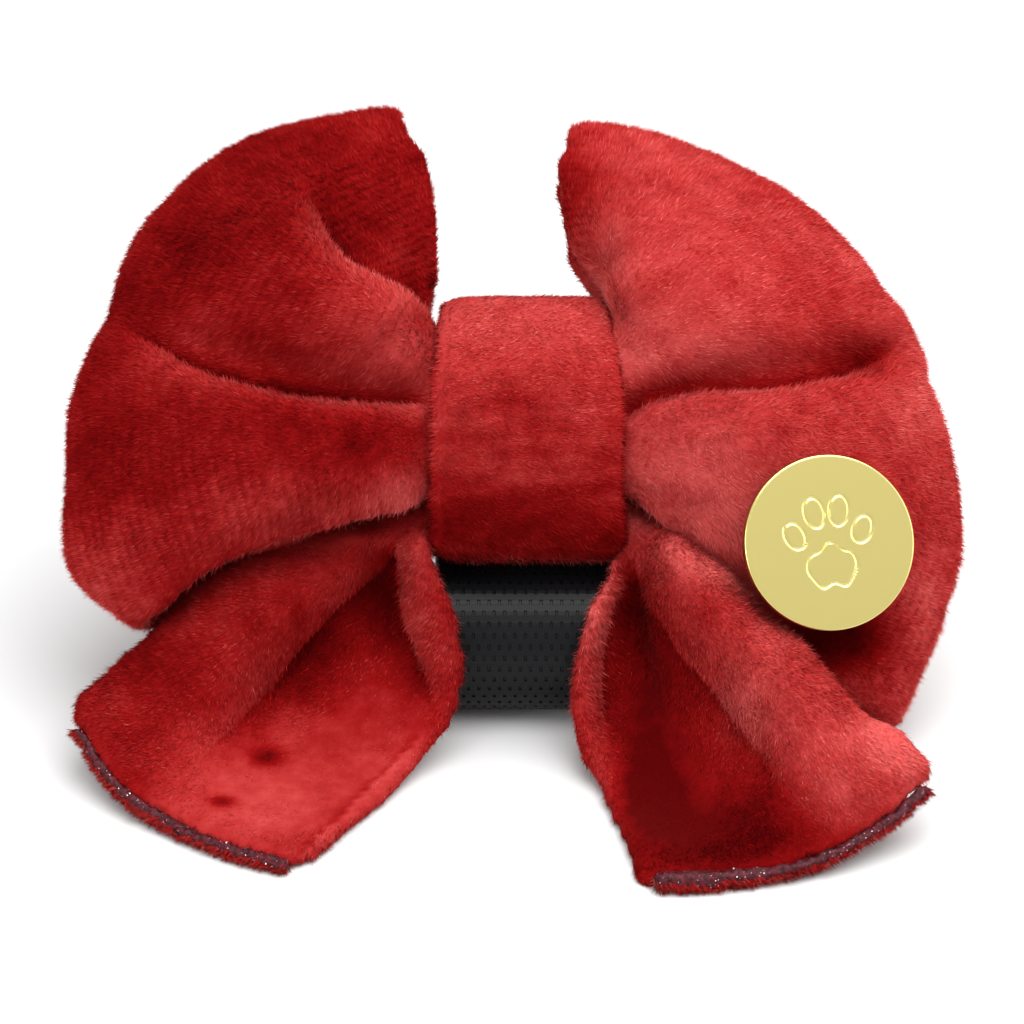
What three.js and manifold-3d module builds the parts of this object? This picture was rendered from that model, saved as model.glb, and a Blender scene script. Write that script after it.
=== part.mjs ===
// A plush bow that slides on a dog harness, standing on its own webbing loop and on the ends of its tails.
// Millimetres, +Z up. The bow faces -Y, and its own left is at -X.

import * as THREE from 'three';
import { mergeVertices } from 'three/addons/utils/BufferGeometryUtils.js';
import Module from 'manifold-3d';

const wasm = await Module();
wasm.setup();

// ---------------------------------------------------------------- driving dimensions

const SEAT_GAP = 0.3;                 // left between pieces that touch

const BOW_LEAN = 40;                  // degrees that the bow leans back from upright
const KNOT_FORWARD = -3;              // the knot's middle, from the middle of the webbing loop
const KNOT_HEIGHT = 36.5;             // and above the surface

const KNOT_HALF_WIDTH = 13.1;
const KNOT_HALF_LENGTH = 17.5;        // along the bow's height
const KNOT_HALF_DEPTH = 10.2;
const KNOT_WALL = 2.4;
const KNOT_TOP_NARROWING = 1.7;       // the band is narrower where it turns over the top
const KNOT_EDGE_BULGE = 0.3;          // how far the padded middle swells beyond the band's half width
const KNOT_STEPS = 36;                // facets round the band

const RIM_ROUNDING = 0.3;             // how far a cloth rim bulges, for each millimetre of wall
const WING_WALL = 2.6;                // two layers of plush, back to back
const WING_OUTER_FOLD = 4.6;          // half the height of the round outer fold
const WING_FOLD_SHARE = 0.9;          // the outer fold starts this many half heights in from the tip
const BACK_NARROWING = 0.86;          // the back wall spreads less than the front one beside the knot
const NEAR_LOFT_SHARE = 0.45;         // beside the knot, how much of its full loft the wing has reached
const WING_ROOT_ACROSS = 12.4;        // where the gathered cloth leaves the knot
const WING_ROOT_DRAW_IN = 0.98;       // the gathers close up a little towards the knot's middle
const GATHER_GAP = 0.45;              // between the gathered cloth and the inside of the band

const TAIL_WALL = 2.2;
const TAIL_ROOT_ACROSS = 9.0;         // the tail's hidden root inside the knot
const TAIL_EDGE_ACROSS = 14.7;        // where it comes out beside the knot
const TAIL_EDGE_DROP = 1.7;
const HEM_THICKNESS = 1.4;
const HEM_LENGTH = 1.1;
const HEM_SIDE_STATIONS = 1;          // stations of the end edge left bare at either side

const LOOP_WIDTH = 24.6;
const LOOP_THICKNESS = 1.8;
const LOOP_ARC_STEPS = 7;             // facets in each turn of the loop

const DISC_RADIUS = 11.25;
const DISC_THICKNESS = 1.5;
const DISC_BEVEL = 0.25;
const DISC_ACROSS = 36.1;
const DISC_UP = -15.5;
const DISC_ELEVATION = 30;            // degrees that its face looks up
const DISC_TURN = 13;                 // degrees that its face turns to the right
const POST_RADIUS = 1.4;
const POST_LENGTH = 6.6;
const POST_CLEARANCE = 0.35;
const DISC_SEGMENTS = 32;
const HOLE_SEGMENTS = 16;
const DISC_SEAT_MARGIN = 2;           // the cloth is felt for this far beyond the disc's edge

// How many smoothing passes the wall directions get, so that a wall doesn't cross itself in a tight fold.
const WING_SMOOTHING = 3;
const TAIL_SMOOTHING = 2;
const HEM_SMOOTHING = 1;

// Facets between one place of a fold line and the next, and between one fold line and the next.
const WING_ALONG_STEPS = [2, 2, 4, 4, 3, 3, 3, 3, 1, 1];
const WING_ACROSS_STEPS = [3, 3, 2, 2, 2, 2, 3, 3, 2, 2];
const TAIL_ALONG_STEPS = [1, 2, 3, 4, 4];
const TAIL_ACROSS_STEPS = [3, 3, 3, 3, 3];

// ---------------------------------------------------------------- fold lines

// A wing is a strip of plush that runs out from the knot, folds over at its outer end and runs back behind.
// Each row is one line of the cloth, from the lower selvedge to the upper one. All of it is in the bow's own
// plane: across from the knot's middle, up along the bow, and lift towards the front. loft is how far the
// back wall lies behind the front one.
const WING_COLUMNS = [
  'rootUp', 'nearAcross', 'nearUp', 'nearLift', 'midAcross', 'midUp', 'midLift', 'loft',
  'tipAcross', 'tipUp', 'tipLift',
];

const LEFT_WING_FOLDS = [
  [-9.0, 17.0, -12.4, 4.4, 30.8, -17.0, 5.5, 6.0, 50.4, -26.0, -1.0],      // lower selvedge
  [-7.6, 17.5, -10.6, 7.2, 33.2, -14.1, 9.0, 9.0, 58.8, -19.4, -2.5],      // foot of the lower puff
  [-5.2, 18.0, -6.4, 8.6, 35.7, -6.7, 11.0, 11.5, 59.6, -11.5, -4.0],      // crown of the lower puff
  [-2.0, 18.5, -1.2, 8.6, 34.6, 0.2, 10.5, 12.0, 59.2, 2.0, -5.0],
  [0.6, 18.5, 2.0, 7.2, 32.3, 4.0, 8.2, 10.5, 57.6, 12.8, -3.6],           // lip over the crease
  [2.2, 18.5, 3.4, 4.4, 32.9, 5.8, 3.0, 7.5, 56.0, 16.4, -6.8],            // crease
  [4.2, 18.2, 6.2, 7.0, 31.1, 9.6, 7.2, 10.5, 54.6, 22.0, -6.0],
  [6.6, 17.6, 11.4, 8.2, 28.4, 16.2, 10.0, 12.0, 50.4, 31.2, -7.0],        // upper panel
  [8.8, 16.8, 15.2, 7.0, 23.0, 20.4, 8.6, 10.0, 40.0, 41.4, -9.0],         // roll
  [10.6, 15.4, 17.8, 2.6, 20.5, 23.6, 1.6, 6.0, 29.6, 46.8, -13.0],        // valley behind the roll
  [12.0, 13.6, 20.2, -2.4, 13.4, 32.8, -3.5, 4.4, 17.8, 48.6, -14.0],      // upper selvedge
];

const RIGHT_WING_FOLDS = [
  [-9.0, 17.0, -12.4, 2.4, 27.6, -25.2, -2.6, 5.6, 47.2, -37.0, -6.0],     // lower selvedge
  [-7.6, 17.5, -10.8, 5.6, 31.2, -20.4, 3.4, 8.0, 53.0, -26.8, -4.5],      // foot of the lower puff
  [-5.2, 18.0, -6.8, 8.4, 33.4, -13.2, 9.6, 11.5, 56.6, -14.0, -3.6],      // crown of the lower puff
  [-2.0, 18.5, -1.6, 8.8, 33.6, -4.2, 11.5, 12.0, 55.5, -1.6, -3.6],
  [0.6, 18.5, 1.8, 7.4, 31.3, 3.8, 9.2, 10.5, 52.9, 7.4, -3.4],            // lip over the crease
  [2.2, 18.5, 3.4, 4.4, 31.9, 5.8, 4.2, 8.0, 51.2, 10.8, -7.6],            // crease
  [4.2, 18.0, 6.2, 7.0, 30.2, 10.0, 8.4, 11.0, 49.3, 16.3, -5.4],
  [6.6, 17.2, 11.2, 8.4, 26.2, 17.6, 10.2, 12.0, 43.2, 26.8, -7.0],        // upper panel
  [8.8, 16.0, 15.6, 7.2, 21.2, 24.9, 8.4, 10.5, 34.7, 34.8, -8.0],
  [10.6, 14.8, 18.4, 3.2, 14.6, 28.9, 4.4, 8.0, 22.4, 42.0, -9.0],
  [12.0, 13.8, 19.4, -3.2, 5.8, 28.6, -2.6, 5.0, 7.8, 46.4, -12.0],        // upper selvedge
];

// A tail is a doubled strip of plush that leaves the knot under the wing and spreads out on the surface.
// Each row is one line of the cloth, from the rim beside the webbing loop to the outer rim. The root is in
// the bow's own plane, and the other places are across from the middle, forward, and above the surface.
const TAIL_COLUMNS = [
  'rootUp', 'rootLift', 'nearAcross', 'nearForward', 'nearHeight', 'midAcross', 'midForward', 'midHeight',
  'lowAcross', 'lowForward', 'lowHeight', 'endAcross', 'endForward', 'endHeight',
];

const LEFT_TAIL_FOLDS = [
  [-11.8, 1.6, 11.6, 13.8, 20.6, 9.6, 17.2, 9.9, 14.4, 25.0, 2.0, 28.2, 46.0, 1.2],      // rim by the loop
  [-12.2, 0.9, 14.6, 11.6, 16.6, 15.0, 19.6, 5.4, 20.6, 29.0, 1.6, 31.6, 44.6, 1.2],
  [-12.3, 0.0, 18.0, 10.0, 16.8, 23.4, 17.4, 5.2, 29.0, 27.8, 2.0, 37.6, 41.6, 1.2],     // trough floor
  [-12.1, -1.0, 20.6, 9.6, 19.6, 32.4, 15.6, 9.4, 38.0, 24.2, 4.0, 44.4, 36.8, 1.6],     // valley
  [-11.8, -2.2, 22.0, 8.2, 21.2, 35.8, 13.6, 17.2, 46.0, 19.6, 11.0, 51.6, 31.0, 3.6],   // ridge
  [-11.5, -2.8, 22.4, 3.0, 22.0, 37.0, 11.0, 19.3, 51.6, 12.6, 12.0, 58.8, 20.8, 7.6],   // outer rim
];

const RIGHT_TAIL_FOLDS = [
  [-11.8, 1.6, 10.4, 14.4, 21.4, 7.4, 17.4, 10.2, 9.0, 27.0, 2.0, 14.8, 49.4, 1.2],      // rim by the loop
  [-12.2, 0.9, 13.0, 12.6, 17.0, 12.6, 19.6, 6.0, 15.4, 30.6, 1.6, 20.6, 48.8, 1.2],     // trough floor
  [-12.3, 0.0, 15.6, 13.2, 17.8, 18.2, 22.0, 8.0, 22.4, 33.4, 3.4, 27.4, 47.8, 1.4],
  [-12.1, -1.0, 16.4, 16.0, 22.6, 22.6, 25.0, 15.0, 28.4, 35.0, 9.2, 34.0, 46.2, 2.4],   // fold
  [-11.8, -2.2, 19.4, 15.6, 24.3, 29.6, 26.0, 19.4, 37.2, 35.0, 13.0, 42.2, 42.6, 5.0],  // crown
  [-11.5, -2.8, 22.2, 12.8, 20.0, 35.4, 22.4, 18.0, 44.0, 31.2, 12.2, 49.4, 36.6, 7.8],  // outer rim
];

// The webbing loop from the side: how far back and how high each corner is, and how roundly it turns.
const LOOP_CORNERS = [
  { back: -12.7, height: 0.9, radius: 7.2 },      // front, on the surface
  { back: -12.7, height: 16.9, radius: 11.6 },    // front, under the knot
  { back: 8.2, height: 22.9, radius: 19 },        // follows the back of the knot
  { back: 22.2, height: 40.2, radius: 4.2 },      // end of the stretch sewn to the knot
  { back: 29.0, height: 36.0, radius: 6.0 },
  { back: 24.6, height: 0.9, radius: 9.0 },       // back, on the surface
];

// ---------------------------------------------------------------- materials

const MATERIALS = {
  plush: new THREE.MeshStandardMaterial({ color: 0x9c1416, roughness: 0.9, metalness: 0 }),
  knotPlush: new THREE.MeshStandardMaterial({ color: 0xa81c1c, roughness: 0.88, metalness: 0 }),
  hem: new THREE.MeshStandardMaterial({ color: 0x40181c, roughness: 0.4, metalness: 0 }),
  webbing: new THREE.MeshStandardMaterial({ color: 0x0a0a0b, roughness: 0.35, metalness: 0 }),
  gold: new THREE.MeshStandardMaterial({ color: 0xd6c66e, roughness: 0.22, metalness: 1 }),
};

// ---------------------------------------------------------------- helpers

const radians = THREE.MathUtils.degToRad;
const mix = THREE.MathUtils.lerp;

const bowUp = new THREE.Vector3(0, Math.sin(radians(BOW_LEAN)), Math.cos(radians(BOW_LEAN)));
const bowFront = new THREE.Vector3(0, -Math.cos(radians(BOW_LEAN)), Math.sin(radians(BOW_LEAN)));
const knotCentre = new THREE.Vector3(0, -KNOT_FORWARD, KNOT_HEIGHT);

// A place in the bow's own plane, as a point above the surface.
function fromBow(across, up, lift) {
  const point = new THREE.Vector3(across, 0, 0).add(knotCentre);
  return point.addScaledVector(bowUp, up).addScaledVector(bowFront, lift);
}

// Rows of numbers under named columns, as one object for each row.
function readTable(columns, rows) {
  return rows.map((row) => Object.fromEntries(columns.map((name, index) => [name, row[index]])));
}

// Points on a smooth curve through the given ones, with a number of steps for each stretch between them.
function smoothThrough(points, steps) {
  const curve = new THREE.CatmullRomCurve3(points, false, 'centripetal');
  const found = [];
  for (let stretch = 0; stretch < points.length - 1; stretch += 1) {
    for (let step = 0; step < steps[stretch]; step += 1) {
      found.push(curve.getPoint((stretch + step / steps[stretch]) / (points.length - 1)));
    }
  }
  found.push(points[points.length - 1].clone());
  return found;
}

// A cloth surface through fold lines: grid[along][across].
function clothGrid(foldLines, alongSteps, acrossSteps) {
  const lines = foldLines.map((line) => smoothThrough(line, alongSteps));
  return lines[0].map((_, station) => smoothThrough(lines.map((line) => line[station]), acrossSteps));
}

// A closed geometry from points and faces, turned so that its faces point out.
function closedGeometry(points, faces) {
  let volume = 0;
  for (const [a, b, c] of faces) {
    volume += points[a].dot(new THREE.Vector3().crossVectors(points[b], points[c]));
  }
  const ordered = volume < 0 ? faces.map(([a, b, c]) => [a, c, b]) : faces;
  const geometry = new THREE.BufferGeometry();
  geometry.setAttribute('position', new THREE.Float32BufferAttribute(points.flatMap((p) => p.toArray()), 3));
  geometry.setIndex(ordered.flat());
  geometry.computeVertexNormals();
  return geometry;
}

function quad(faces, a, b, c, d) {
  faces.push([a, b, c], [a, c, d]);
}

// Directions square to a cloth grid, evened out so that both faces of the wall stay apart in tight folds.
function clothNormals(grid, passes) {
  const last = grid.length - 1;
  const side = grid[0].length - 1;
  let normals = grid.map((line, i) => line.map((_, j) => {
    const along = grid[Math.min(i + 1, last)][j].clone().sub(grid[Math.max(i - 1, 0)][j]);
    const across = grid[i][Math.min(j + 1, side)].clone().sub(grid[i][Math.max(j - 1, 0)]);
    return along.cross(across).normalize();
  }));
  for (let pass = 0; pass < passes; pass += 1) {
    normals = normals.map((line, i) => line.map((normal, j) => {
      const sum = normal.clone().multiplyScalar(2);
      sum.add(normals[Math.max(i - 1, 0)][j]).add(normals[Math.min(i + 1, last)][j]);
      sum.add(normals[i][Math.max(j - 1, 0)]).add(normals[i][Math.min(j + 1, side)]);
      return sum.normalize();
    }));
  }
  return normals;
}

// A cloth wall: a face on either side of the grid and a rounded rim all the way round.
function clothWall(grid, wall, smoothing) {
  const rows = grid.length;
  const columns = grid[0].length;
  const normals = clothNormals(grid, smoothing);
  const points = [];
  const faces = [];
  const front = (i, j) => i * columns + j;
  const back = (i, j) => rows * columns + i * columns + j;
  for (const sign of [1, -1]) {
    grid.forEach((line, i) => line.forEach((point, j) => {
      points.push(point.clone().addScaledVector(normals[i][j], sign * wall / 2));
    }));
  }
  for (let i = 0; i < rows - 1; i += 1) {
    for (let j = 0; j < columns - 1; j += 1) {
      quad(faces, front(i, j), front(i + 1, j), front(i + 1, j + 1), front(i, j + 1));
      quad(faces, back(i, j), back(i, j + 1), back(i + 1, j + 1), back(i + 1, j));
    }
  }
  const rim = [];
  for (let j = 0; j < columns - 1; j += 1) rim.push([0, j, 1, j]);
  for (let i = 0; i < rows - 1; i += 1) rim.push([i, columns - 1, i, columns - 2]);
  for (let j = columns - 1; j > 0; j -= 1) rim.push([rows - 1, j, rows - 2, j]);
  for (let i = rows - 1; i > 0; i -= 1) rim.push([i, 0, i, 1]);
  const firstRimPoint = points.length;
  for (const [i, j, nextI, nextJ] of rim) {
    const outward = grid[i][j].clone().sub(grid[nextI][nextJ]).normalize();
    points.push(grid[i][j].clone().addScaledVector(outward, wall * RIM_ROUNDING));
  }
  rim.forEach(([i, j], index) => {
    const [nextI, nextJ] = rim[(index + 1) % rim.length];
    const here = firstRimPoint + index;
    const next = firstRimPoint + (index + 1) % rim.length;
    quad(faces, front(i, j), front(nextI, nextJ), next, here);
    quad(faces, here, next, back(nextI, nextJ), back(i, j));
  });
  return closedGeometry(points, faces);
}

// A closed section carried along a route. sections[k] is the ring of points at step k.
function sweptRings(sections, closed) {
  const size = sections[0].length;
  const points = sections.flat();
  const faces = [];
  const lastStep = closed ? sections.length : sections.length - 1;
  for (let k = 0; k < lastStep; k += 1) {
    const here = k * size;
    const next = ((k + 1) % sections.length) * size;
    for (let j = 0; j < size; j += 1) {
      const after = (j + 1) % size;
      quad(faces, here + j, next + j, next + after, here + after);
    }
  }
  if (!closed) {
    const end = (sections.length - 1) * size;
    for (let j = 1; j < size - 1; j += 1) {
      faces.push([0, j, j + 1], [end, end + j + 1, end + j]);
    }
  }
  return closedGeometry(points, faces);
}

// A closed outline with rounded corners, as points on straight runs and arcs.
function roundedLoop(corners, arcSteps) {
  const found = [];
  corners.forEach((corner, index) => {
    const place = ({ back, height }) => new THREE.Vector2(back, height);
    const here = place(corner);
    const before = place(corners.at(index - 1)).sub(here).normalize();
    const after = place(corners[(index + 1) % corners.length]).sub(here).normalize();
    const halfAngle = Math.acos(THREE.MathUtils.clamp(before.dot(after), -1, 1)) / 2;
    const reach = corner.radius / Math.tan(halfAngle);
    const start = here.clone().addScaledVector(before, reach);
    const bisector = before.clone().add(after).normalize();
    const middle = here.clone().addScaledVector(bisector, corner.radius / Math.sin(halfAngle));
    const startAngle = Math.atan2(start.y - middle.y, start.x - middle.x);
    const turn = Math.PI - 2 * halfAngle;
    const sense = Math.sign(before.x * after.y - before.y * after.x);
    for (let step = 0; step <= arcSteps; step += 1) {
      const angle = startAngle - sense * turn * step / arcSteps;
      found.push(new THREE.Vector2(
        middle.x + corner.radius * Math.cos(angle),
        middle.y + corner.radius * Math.sin(angle),
      ));
    }
  });
  return found;
}

function toManifold(geometry) {
  const bare = new THREE.BufferGeometry();
  bare.setAttribute('position', geometry.getAttribute('position').clone());
  if (geometry.index) bare.setIndex(geometry.index.clone());
  const merged = mergeVertices(bare, 1e-4);
  return new wasm.Manifold(new wasm.Mesh({
    numProp: 3,
    vertProperties: new Float32Array(merged.getAttribute('position').array),
    triVerts: new Uint32Array(merged.index.array),
  }));
}

function fromManifold(solid) {
  const mesh = solid.getMesh();
  const geometry = new THREE.BufferGeometry();
  geometry.setAttribute('position', new THREE.BufferAttribute(mesh.vertProperties, 3));
  geometry.setIndex(new THREE.BufferAttribute(mesh.triVerts, 1));
  geometry.computeVertexNormals();
  return geometry;
}

function piece(name, geometry, material) {
  const mesh = new THREE.Mesh(geometry, material);
  mesh.name = name;
  return mesh;
}

// ---------------------------------------------------------------- wings

// How far the gathered cloth lies from the knot's middle plane, inside the band.
function rootLift(up) {
  const halfLength = KNOT_HALF_LENGTH - KNOT_WALL - GATHER_GAP - WING_WALL / 2;
  const halfDepth = KNOT_HALF_DEPTH - KNOT_WALL - GATHER_GAP - WING_WALL / 2;
  return halfDepth * Math.sqrt(1 - (up / halfLength) ** 2);
}

function wingGrid(side, folds) {
  const lines = folds.map((fold) => {
    const gathered = rootLift(fold.rootUp);
    const outX = fold.tipAcross - fold.midAcross;
    const outUp = fold.tipUp - fold.midUp;
    const turn = WING_OUTER_FOLD * WING_FOLD_SHARE / Math.hypot(outX, outUp);
    const foldAcross = fold.tipAcross - outX * turn;
    const foldUp = fold.tipUp - outUp * turn;
    const nearLoft = mix(2 * gathered, fold.loft, NEAR_LOFT_SHARE);
    const centre = SEAT_GAP / 2 + WING_WALL * RIM_ROUNDING;
    const centreUp = fold.rootUp * WING_ROOT_DRAW_IN;
    const route = [
      [centre, centreUp, gathered],
      [WING_ROOT_ACROSS, fold.rootUp, gathered],
      [fold.nearAcross, fold.nearUp, fold.nearLift],
      [fold.midAcross, fold.midUp, fold.midLift],
      [foldAcross, foldUp, fold.tipLift + WING_OUTER_FOLD],
      [fold.tipAcross, fold.tipUp, fold.tipLift],
      [foldAcross, foldUp, fold.tipLift - WING_OUTER_FOLD],
      [fold.midAcross, fold.midUp, fold.midLift - fold.loft],
      [fold.nearAcross, fold.nearUp * BACK_NARROWING, fold.nearLift - nearLoft],
      [WING_ROOT_ACROSS, fold.rootUp, -gathered],
      [centre, centreUp, -gathered],
    ];
    return route.map(([across, up, lift]) => new THREE.Vector3(side * across, -lift, up));
  });
  return clothGrid(lines, WING_ALONG_STEPS, WING_ACROSS_STEPS);
}

function wing(side, rows) {
  return clothWall(wingGrid(side, readTable(WING_COLUMNS, rows)), WING_WALL, WING_SMOOTHING);
}

// ---------------------------------------------------------------- knot

// The band's section: out is a share of its half width, and wall is a share of its thickness, from outside.
const KNOT_PROFILE = [
  { out: -0.97, wall: 0.62 }, { out: -0.86, wall: 0 }, { out: -0.4, wall: -0.08 }, { out: 0.4, wall: -0.08 },
  { out: 0.86, wall: 0 }, { out: 0.97, wall: 0.62 }, { out: 0.9, wall: 1 }, { out: -0.9, wall: 1 },
];

function knotBand() {
  const sections = [];
  for (let step = 0; step < KNOT_STEPS; step += 1) {
    const angle = 2 * Math.PI * step / KNOT_STEPS;
    const overTop = Math.max(0, Math.cos(angle)) ** 3;
    const halfWidth = KNOT_HALF_WIDTH - KNOT_TOP_NARROWING * overTop;
    sections.push(KNOT_PROFILE.map(({ out, wall }) => {
      const inset = wall * KNOT_WALL;
      const up = (KNOT_HALF_LENGTH - inset) * Math.cos(angle);
      const lift = (KNOT_HALF_DEPTH - inset) * Math.sin(angle);
      return new THREE.Vector3(out * (halfWidth + KNOT_EDGE_BULGE), -lift, up);
    }));
  }
  return sweptRings(sections, true);
}

// ---------------------------------------------------------------- tails and their hems

function tailGrid(side, rows) {
  const lines = readTable(TAIL_COLUMNS, rows).map((fold) => {
    const place = (across, forward, height) => new THREE.Vector3(side * across, -forward, height);
    return [
      fromBow(side * TAIL_ROOT_ACROSS, fold.rootUp, fold.rootLift),
      fromBow(side * TAIL_EDGE_ACROSS, fold.rootUp - TAIL_EDGE_DROP, fold.rootLift),
      place(fold.nearAcross, fold.nearForward, fold.nearHeight),
      place(fold.midAcross, fold.midForward, fold.midHeight),
      place(fold.lowAcross, fold.lowForward, fold.lowHeight),
      place(fold.endAcross, fold.endForward, fold.endHeight),
    ];
  });
  const grid = clothGrid(lines, TAIL_ALONG_STEPS, TAIL_ACROSS_STEPS);
  grid.flat().forEach((point) => point.setZ(Math.max(point.z, TAIL_WALL / 2)));
  return grid;
}

// The hem's section, as shares of half its length along the cloth and half its thickness through it.
const HEM_PROFILE = [[-1, -0.6], [-0.6, -1], [0.6, -1], [1, -0.6], [1, 0.6], [0.6, 1], [-0.6, 1], [-1, 0.6]];

// The dark cut edge: a narrow strip along the end of the tail, square to the cloth.
function hem(grid) {
  const last = grid.length - 1;
  const normals = clothNormals(grid, HEM_SMOOTHING)[last];
  const sections = [];
  for (let j = HEM_SIDE_STATIONS; j < grid[last].length - HEM_SIDE_STATIONS; j += 1) {
    const outward = grid[last][j].clone().sub(grid[last - 1][j]).normalize();
    const reach = TAIL_WALL * RIM_ROUNDING + SEAT_GAP + HEM_LENGTH / 2;
    const middle = grid[last][j].clone().addScaledVector(outward, reach);
    sections.push(HEM_PROFILE.map(([along, through]) => middle.clone()
      .addScaledVector(outward, along * HEM_LENGTH / 2)
      .addScaledVector(normals[j], through * HEM_THICKNESS / 2)));
  }
  return sweptRings(sections, false);
}

// ---------------------------------------------------------------- webbing loop

function webbingLoop() {
  const route = roundedLoop(LOOP_CORNERS, LOOP_ARC_STEPS);
  const sections = route.map((point, index) => {
    const before = route.at(index - 1);
    const after = route[(index + 1) % route.length];
    const into = point.clone().sub(before).normalize();
    const out = after.clone().sub(point).normalize();
    const halfTurn = Math.acos(THREE.MathUtils.clamp(into.dot(out), -1, 1)) / 2;
    const square = into.add(out).normalize();
    const reach = LOOP_THICKNESS / 2 / Math.cos(halfTurn);
    const side = new THREE.Vector2(-square.y, square.x).multiplyScalar(reach);
    const corners = [[-1, -1], [1, -1], [1, 1], [-1, 1]];
    return corners.map(([across, through]) => new THREE.Vector3(
      across * LOOP_WIDTH / 2,
      point.x + through * side.x,
      point.y + through * side.y,
    ));
  });
  return sweptRings(sections, true);
}

// ---------------------------------------------------------------- gold disc

// The disc and its post as one turned solid. Its face looks along +Y, and its back is at zero.
function discProfile(clearance) {
  const post = POST_RADIUS + clearance;
  const depth = POST_LENGTH + 3 * clearance;
  const outline = [
    new THREE.Vector2(0, -depth),
    new THREE.Vector2(post, -depth),
    new THREE.Vector2(post, 0),
  ];
  if (clearance > 0) {
    outline.push(new THREE.Vector2(0, 0));
    return outline;
  }
  outline.push(
    new THREE.Vector2(DISC_RADIUS - DISC_BEVEL, 0),
    new THREE.Vector2(DISC_RADIUS, DISC_BEVEL),
    new THREE.Vector2(DISC_RADIUS, DISC_THICKNESS - DISC_BEVEL),
    new THREE.Vector2(DISC_RADIUS - DISC_BEVEL, DISC_THICKNESS),
    new THREE.Vector2(0, DISC_THICKNESS),
  );
  return outline;
}

const DISC_AXIS = new THREE.Vector3(
  Math.sin(radians(DISC_TURN)) * Math.cos(radians(DISC_ELEVATION)),
  -Math.cos(radians(DISC_TURN)) * Math.cos(radians(DISC_ELEVATION)),
  Math.sin(radians(DISC_ELEVATION)),
);

// How far out along the disc's axis the cloth reaches under the disc, from a point behind it.
function clothHeightUnder(geometry, matrix, centre, axis, radius) {
  const position = geometry.getAttribute('position');
  let highest = -Infinity;
  for (let index = 0; index < position.count; index += 1) {
    const offset = new THREE.Vector3().fromBufferAttribute(position, index).applyMatrix4(matrix).sub(centre);
    const height = offset.dot(axis);
    const away = offset.addScaledVector(axis, -height).length();
    if (away < radius) highest = Math.max(highest, height);
  }
  return highest;
}

// ---------------------------------------------------------------- assembly

const model = new THREE.Group();
const standing = new THREE.Group();
const bow = new THREE.Group();
bow.position.copy(knotCentre);
bow.rotation.x = -radians(BOW_LEAN);
bow.updateMatrix();
standing.add(bow);
model.add(standing);

const rightWing = wing(1, RIGHT_WING_FOLDS);
const discFoot = fromBow(DISC_ACROSS, DISC_UP, 0);
const feltRadius = DISC_RADIUS + DISC_SEAT_MARGIN;
const seat = clothHeightUnder(rightWing, bow.matrix, discFoot, DISC_AXIS, feltRadius) + SEAT_GAP;
const discTurn = new THREE.Quaternion().setFromUnitVectors(new THREE.Vector3(0, 1, 0), DISC_AXIS);
const discMatrix = new THREE.Matrix4().compose(
  discFoot.clone().addScaledVector(DISC_AXIS, seat),
  discTurn,
  new THREE.Vector3(1, 1, 1),
);
const postHole = new THREE.LatheGeometry(discProfile(POST_CLEARANCE), HOLE_SEGMENTS);
postHole.applyMatrix4(discMatrix).applyMatrix4(bow.matrix.clone().invert());
const piercedWing = fromManifold(toManifold(rightWing).subtract(toManifold(postHole)));

bow.add(piece('left_wing', wing(-1, LEFT_WING_FOLDS), MATERIALS.plush));
bow.add(piece('right_wing', piercedWing, MATERIALS.plush));
bow.add(piece('knot_band', knotBand(), MATERIALS.knotPlush));

for (const [name, side, rows] of [['left', -1, LEFT_TAIL_FOLDS], ['right', 1, RIGHT_TAIL_FOLDS]]) {
  const grid = tailGrid(side, rows);
  standing.add(piece(`${name}_tail`, clothWall(grid, TAIL_WALL, TAIL_SMOOTHING), MATERIALS.plush));
  standing.add(piece(`${name}_hem`, hem(grid), MATERIALS.hem));
}

standing.add(piece('webbing_loop', webbingLoop(), MATERIALS.webbing));

const disc = piece('gold_disc', new THREE.LatheGeometry(discProfile(0), DISC_SEGMENTS), MATERIALS.gold);
disc.applyMatrix4(discMatrix);
standing.add(disc);

// The origin goes under the middle of the whole, on the surface that it stands on.
model.updateMatrixWorld(true);
const box = new THREE.Box3().setFromObject(standing, true);
standing.position.set(-(box.min.x + box.max.x) / 2, -(box.min.y + box.max.y) / 2, -box.min.z);

export default model;
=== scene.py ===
import math
from dataclasses import dataclass

import bmesh
import bpy
import numpy as np
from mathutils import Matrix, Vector
from mathutils.bvhtree import BVHTree


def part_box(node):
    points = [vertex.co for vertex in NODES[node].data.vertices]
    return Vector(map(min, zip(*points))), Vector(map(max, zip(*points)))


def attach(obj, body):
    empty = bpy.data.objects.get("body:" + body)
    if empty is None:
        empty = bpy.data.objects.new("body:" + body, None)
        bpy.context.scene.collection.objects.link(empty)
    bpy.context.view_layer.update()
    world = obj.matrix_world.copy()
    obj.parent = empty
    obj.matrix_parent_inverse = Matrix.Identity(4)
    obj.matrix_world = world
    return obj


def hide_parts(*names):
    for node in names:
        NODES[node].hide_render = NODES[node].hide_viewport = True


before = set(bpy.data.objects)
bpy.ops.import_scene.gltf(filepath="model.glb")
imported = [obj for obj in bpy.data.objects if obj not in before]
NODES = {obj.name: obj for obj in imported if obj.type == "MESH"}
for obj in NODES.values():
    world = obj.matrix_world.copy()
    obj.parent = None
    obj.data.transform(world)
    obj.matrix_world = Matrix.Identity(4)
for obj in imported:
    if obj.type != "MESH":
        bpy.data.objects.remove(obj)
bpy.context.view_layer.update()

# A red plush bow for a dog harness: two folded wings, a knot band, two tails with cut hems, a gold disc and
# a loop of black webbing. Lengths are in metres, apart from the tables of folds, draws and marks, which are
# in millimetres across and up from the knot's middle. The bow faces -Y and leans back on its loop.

MM = 0.001


# ---- the bow's own directions

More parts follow.
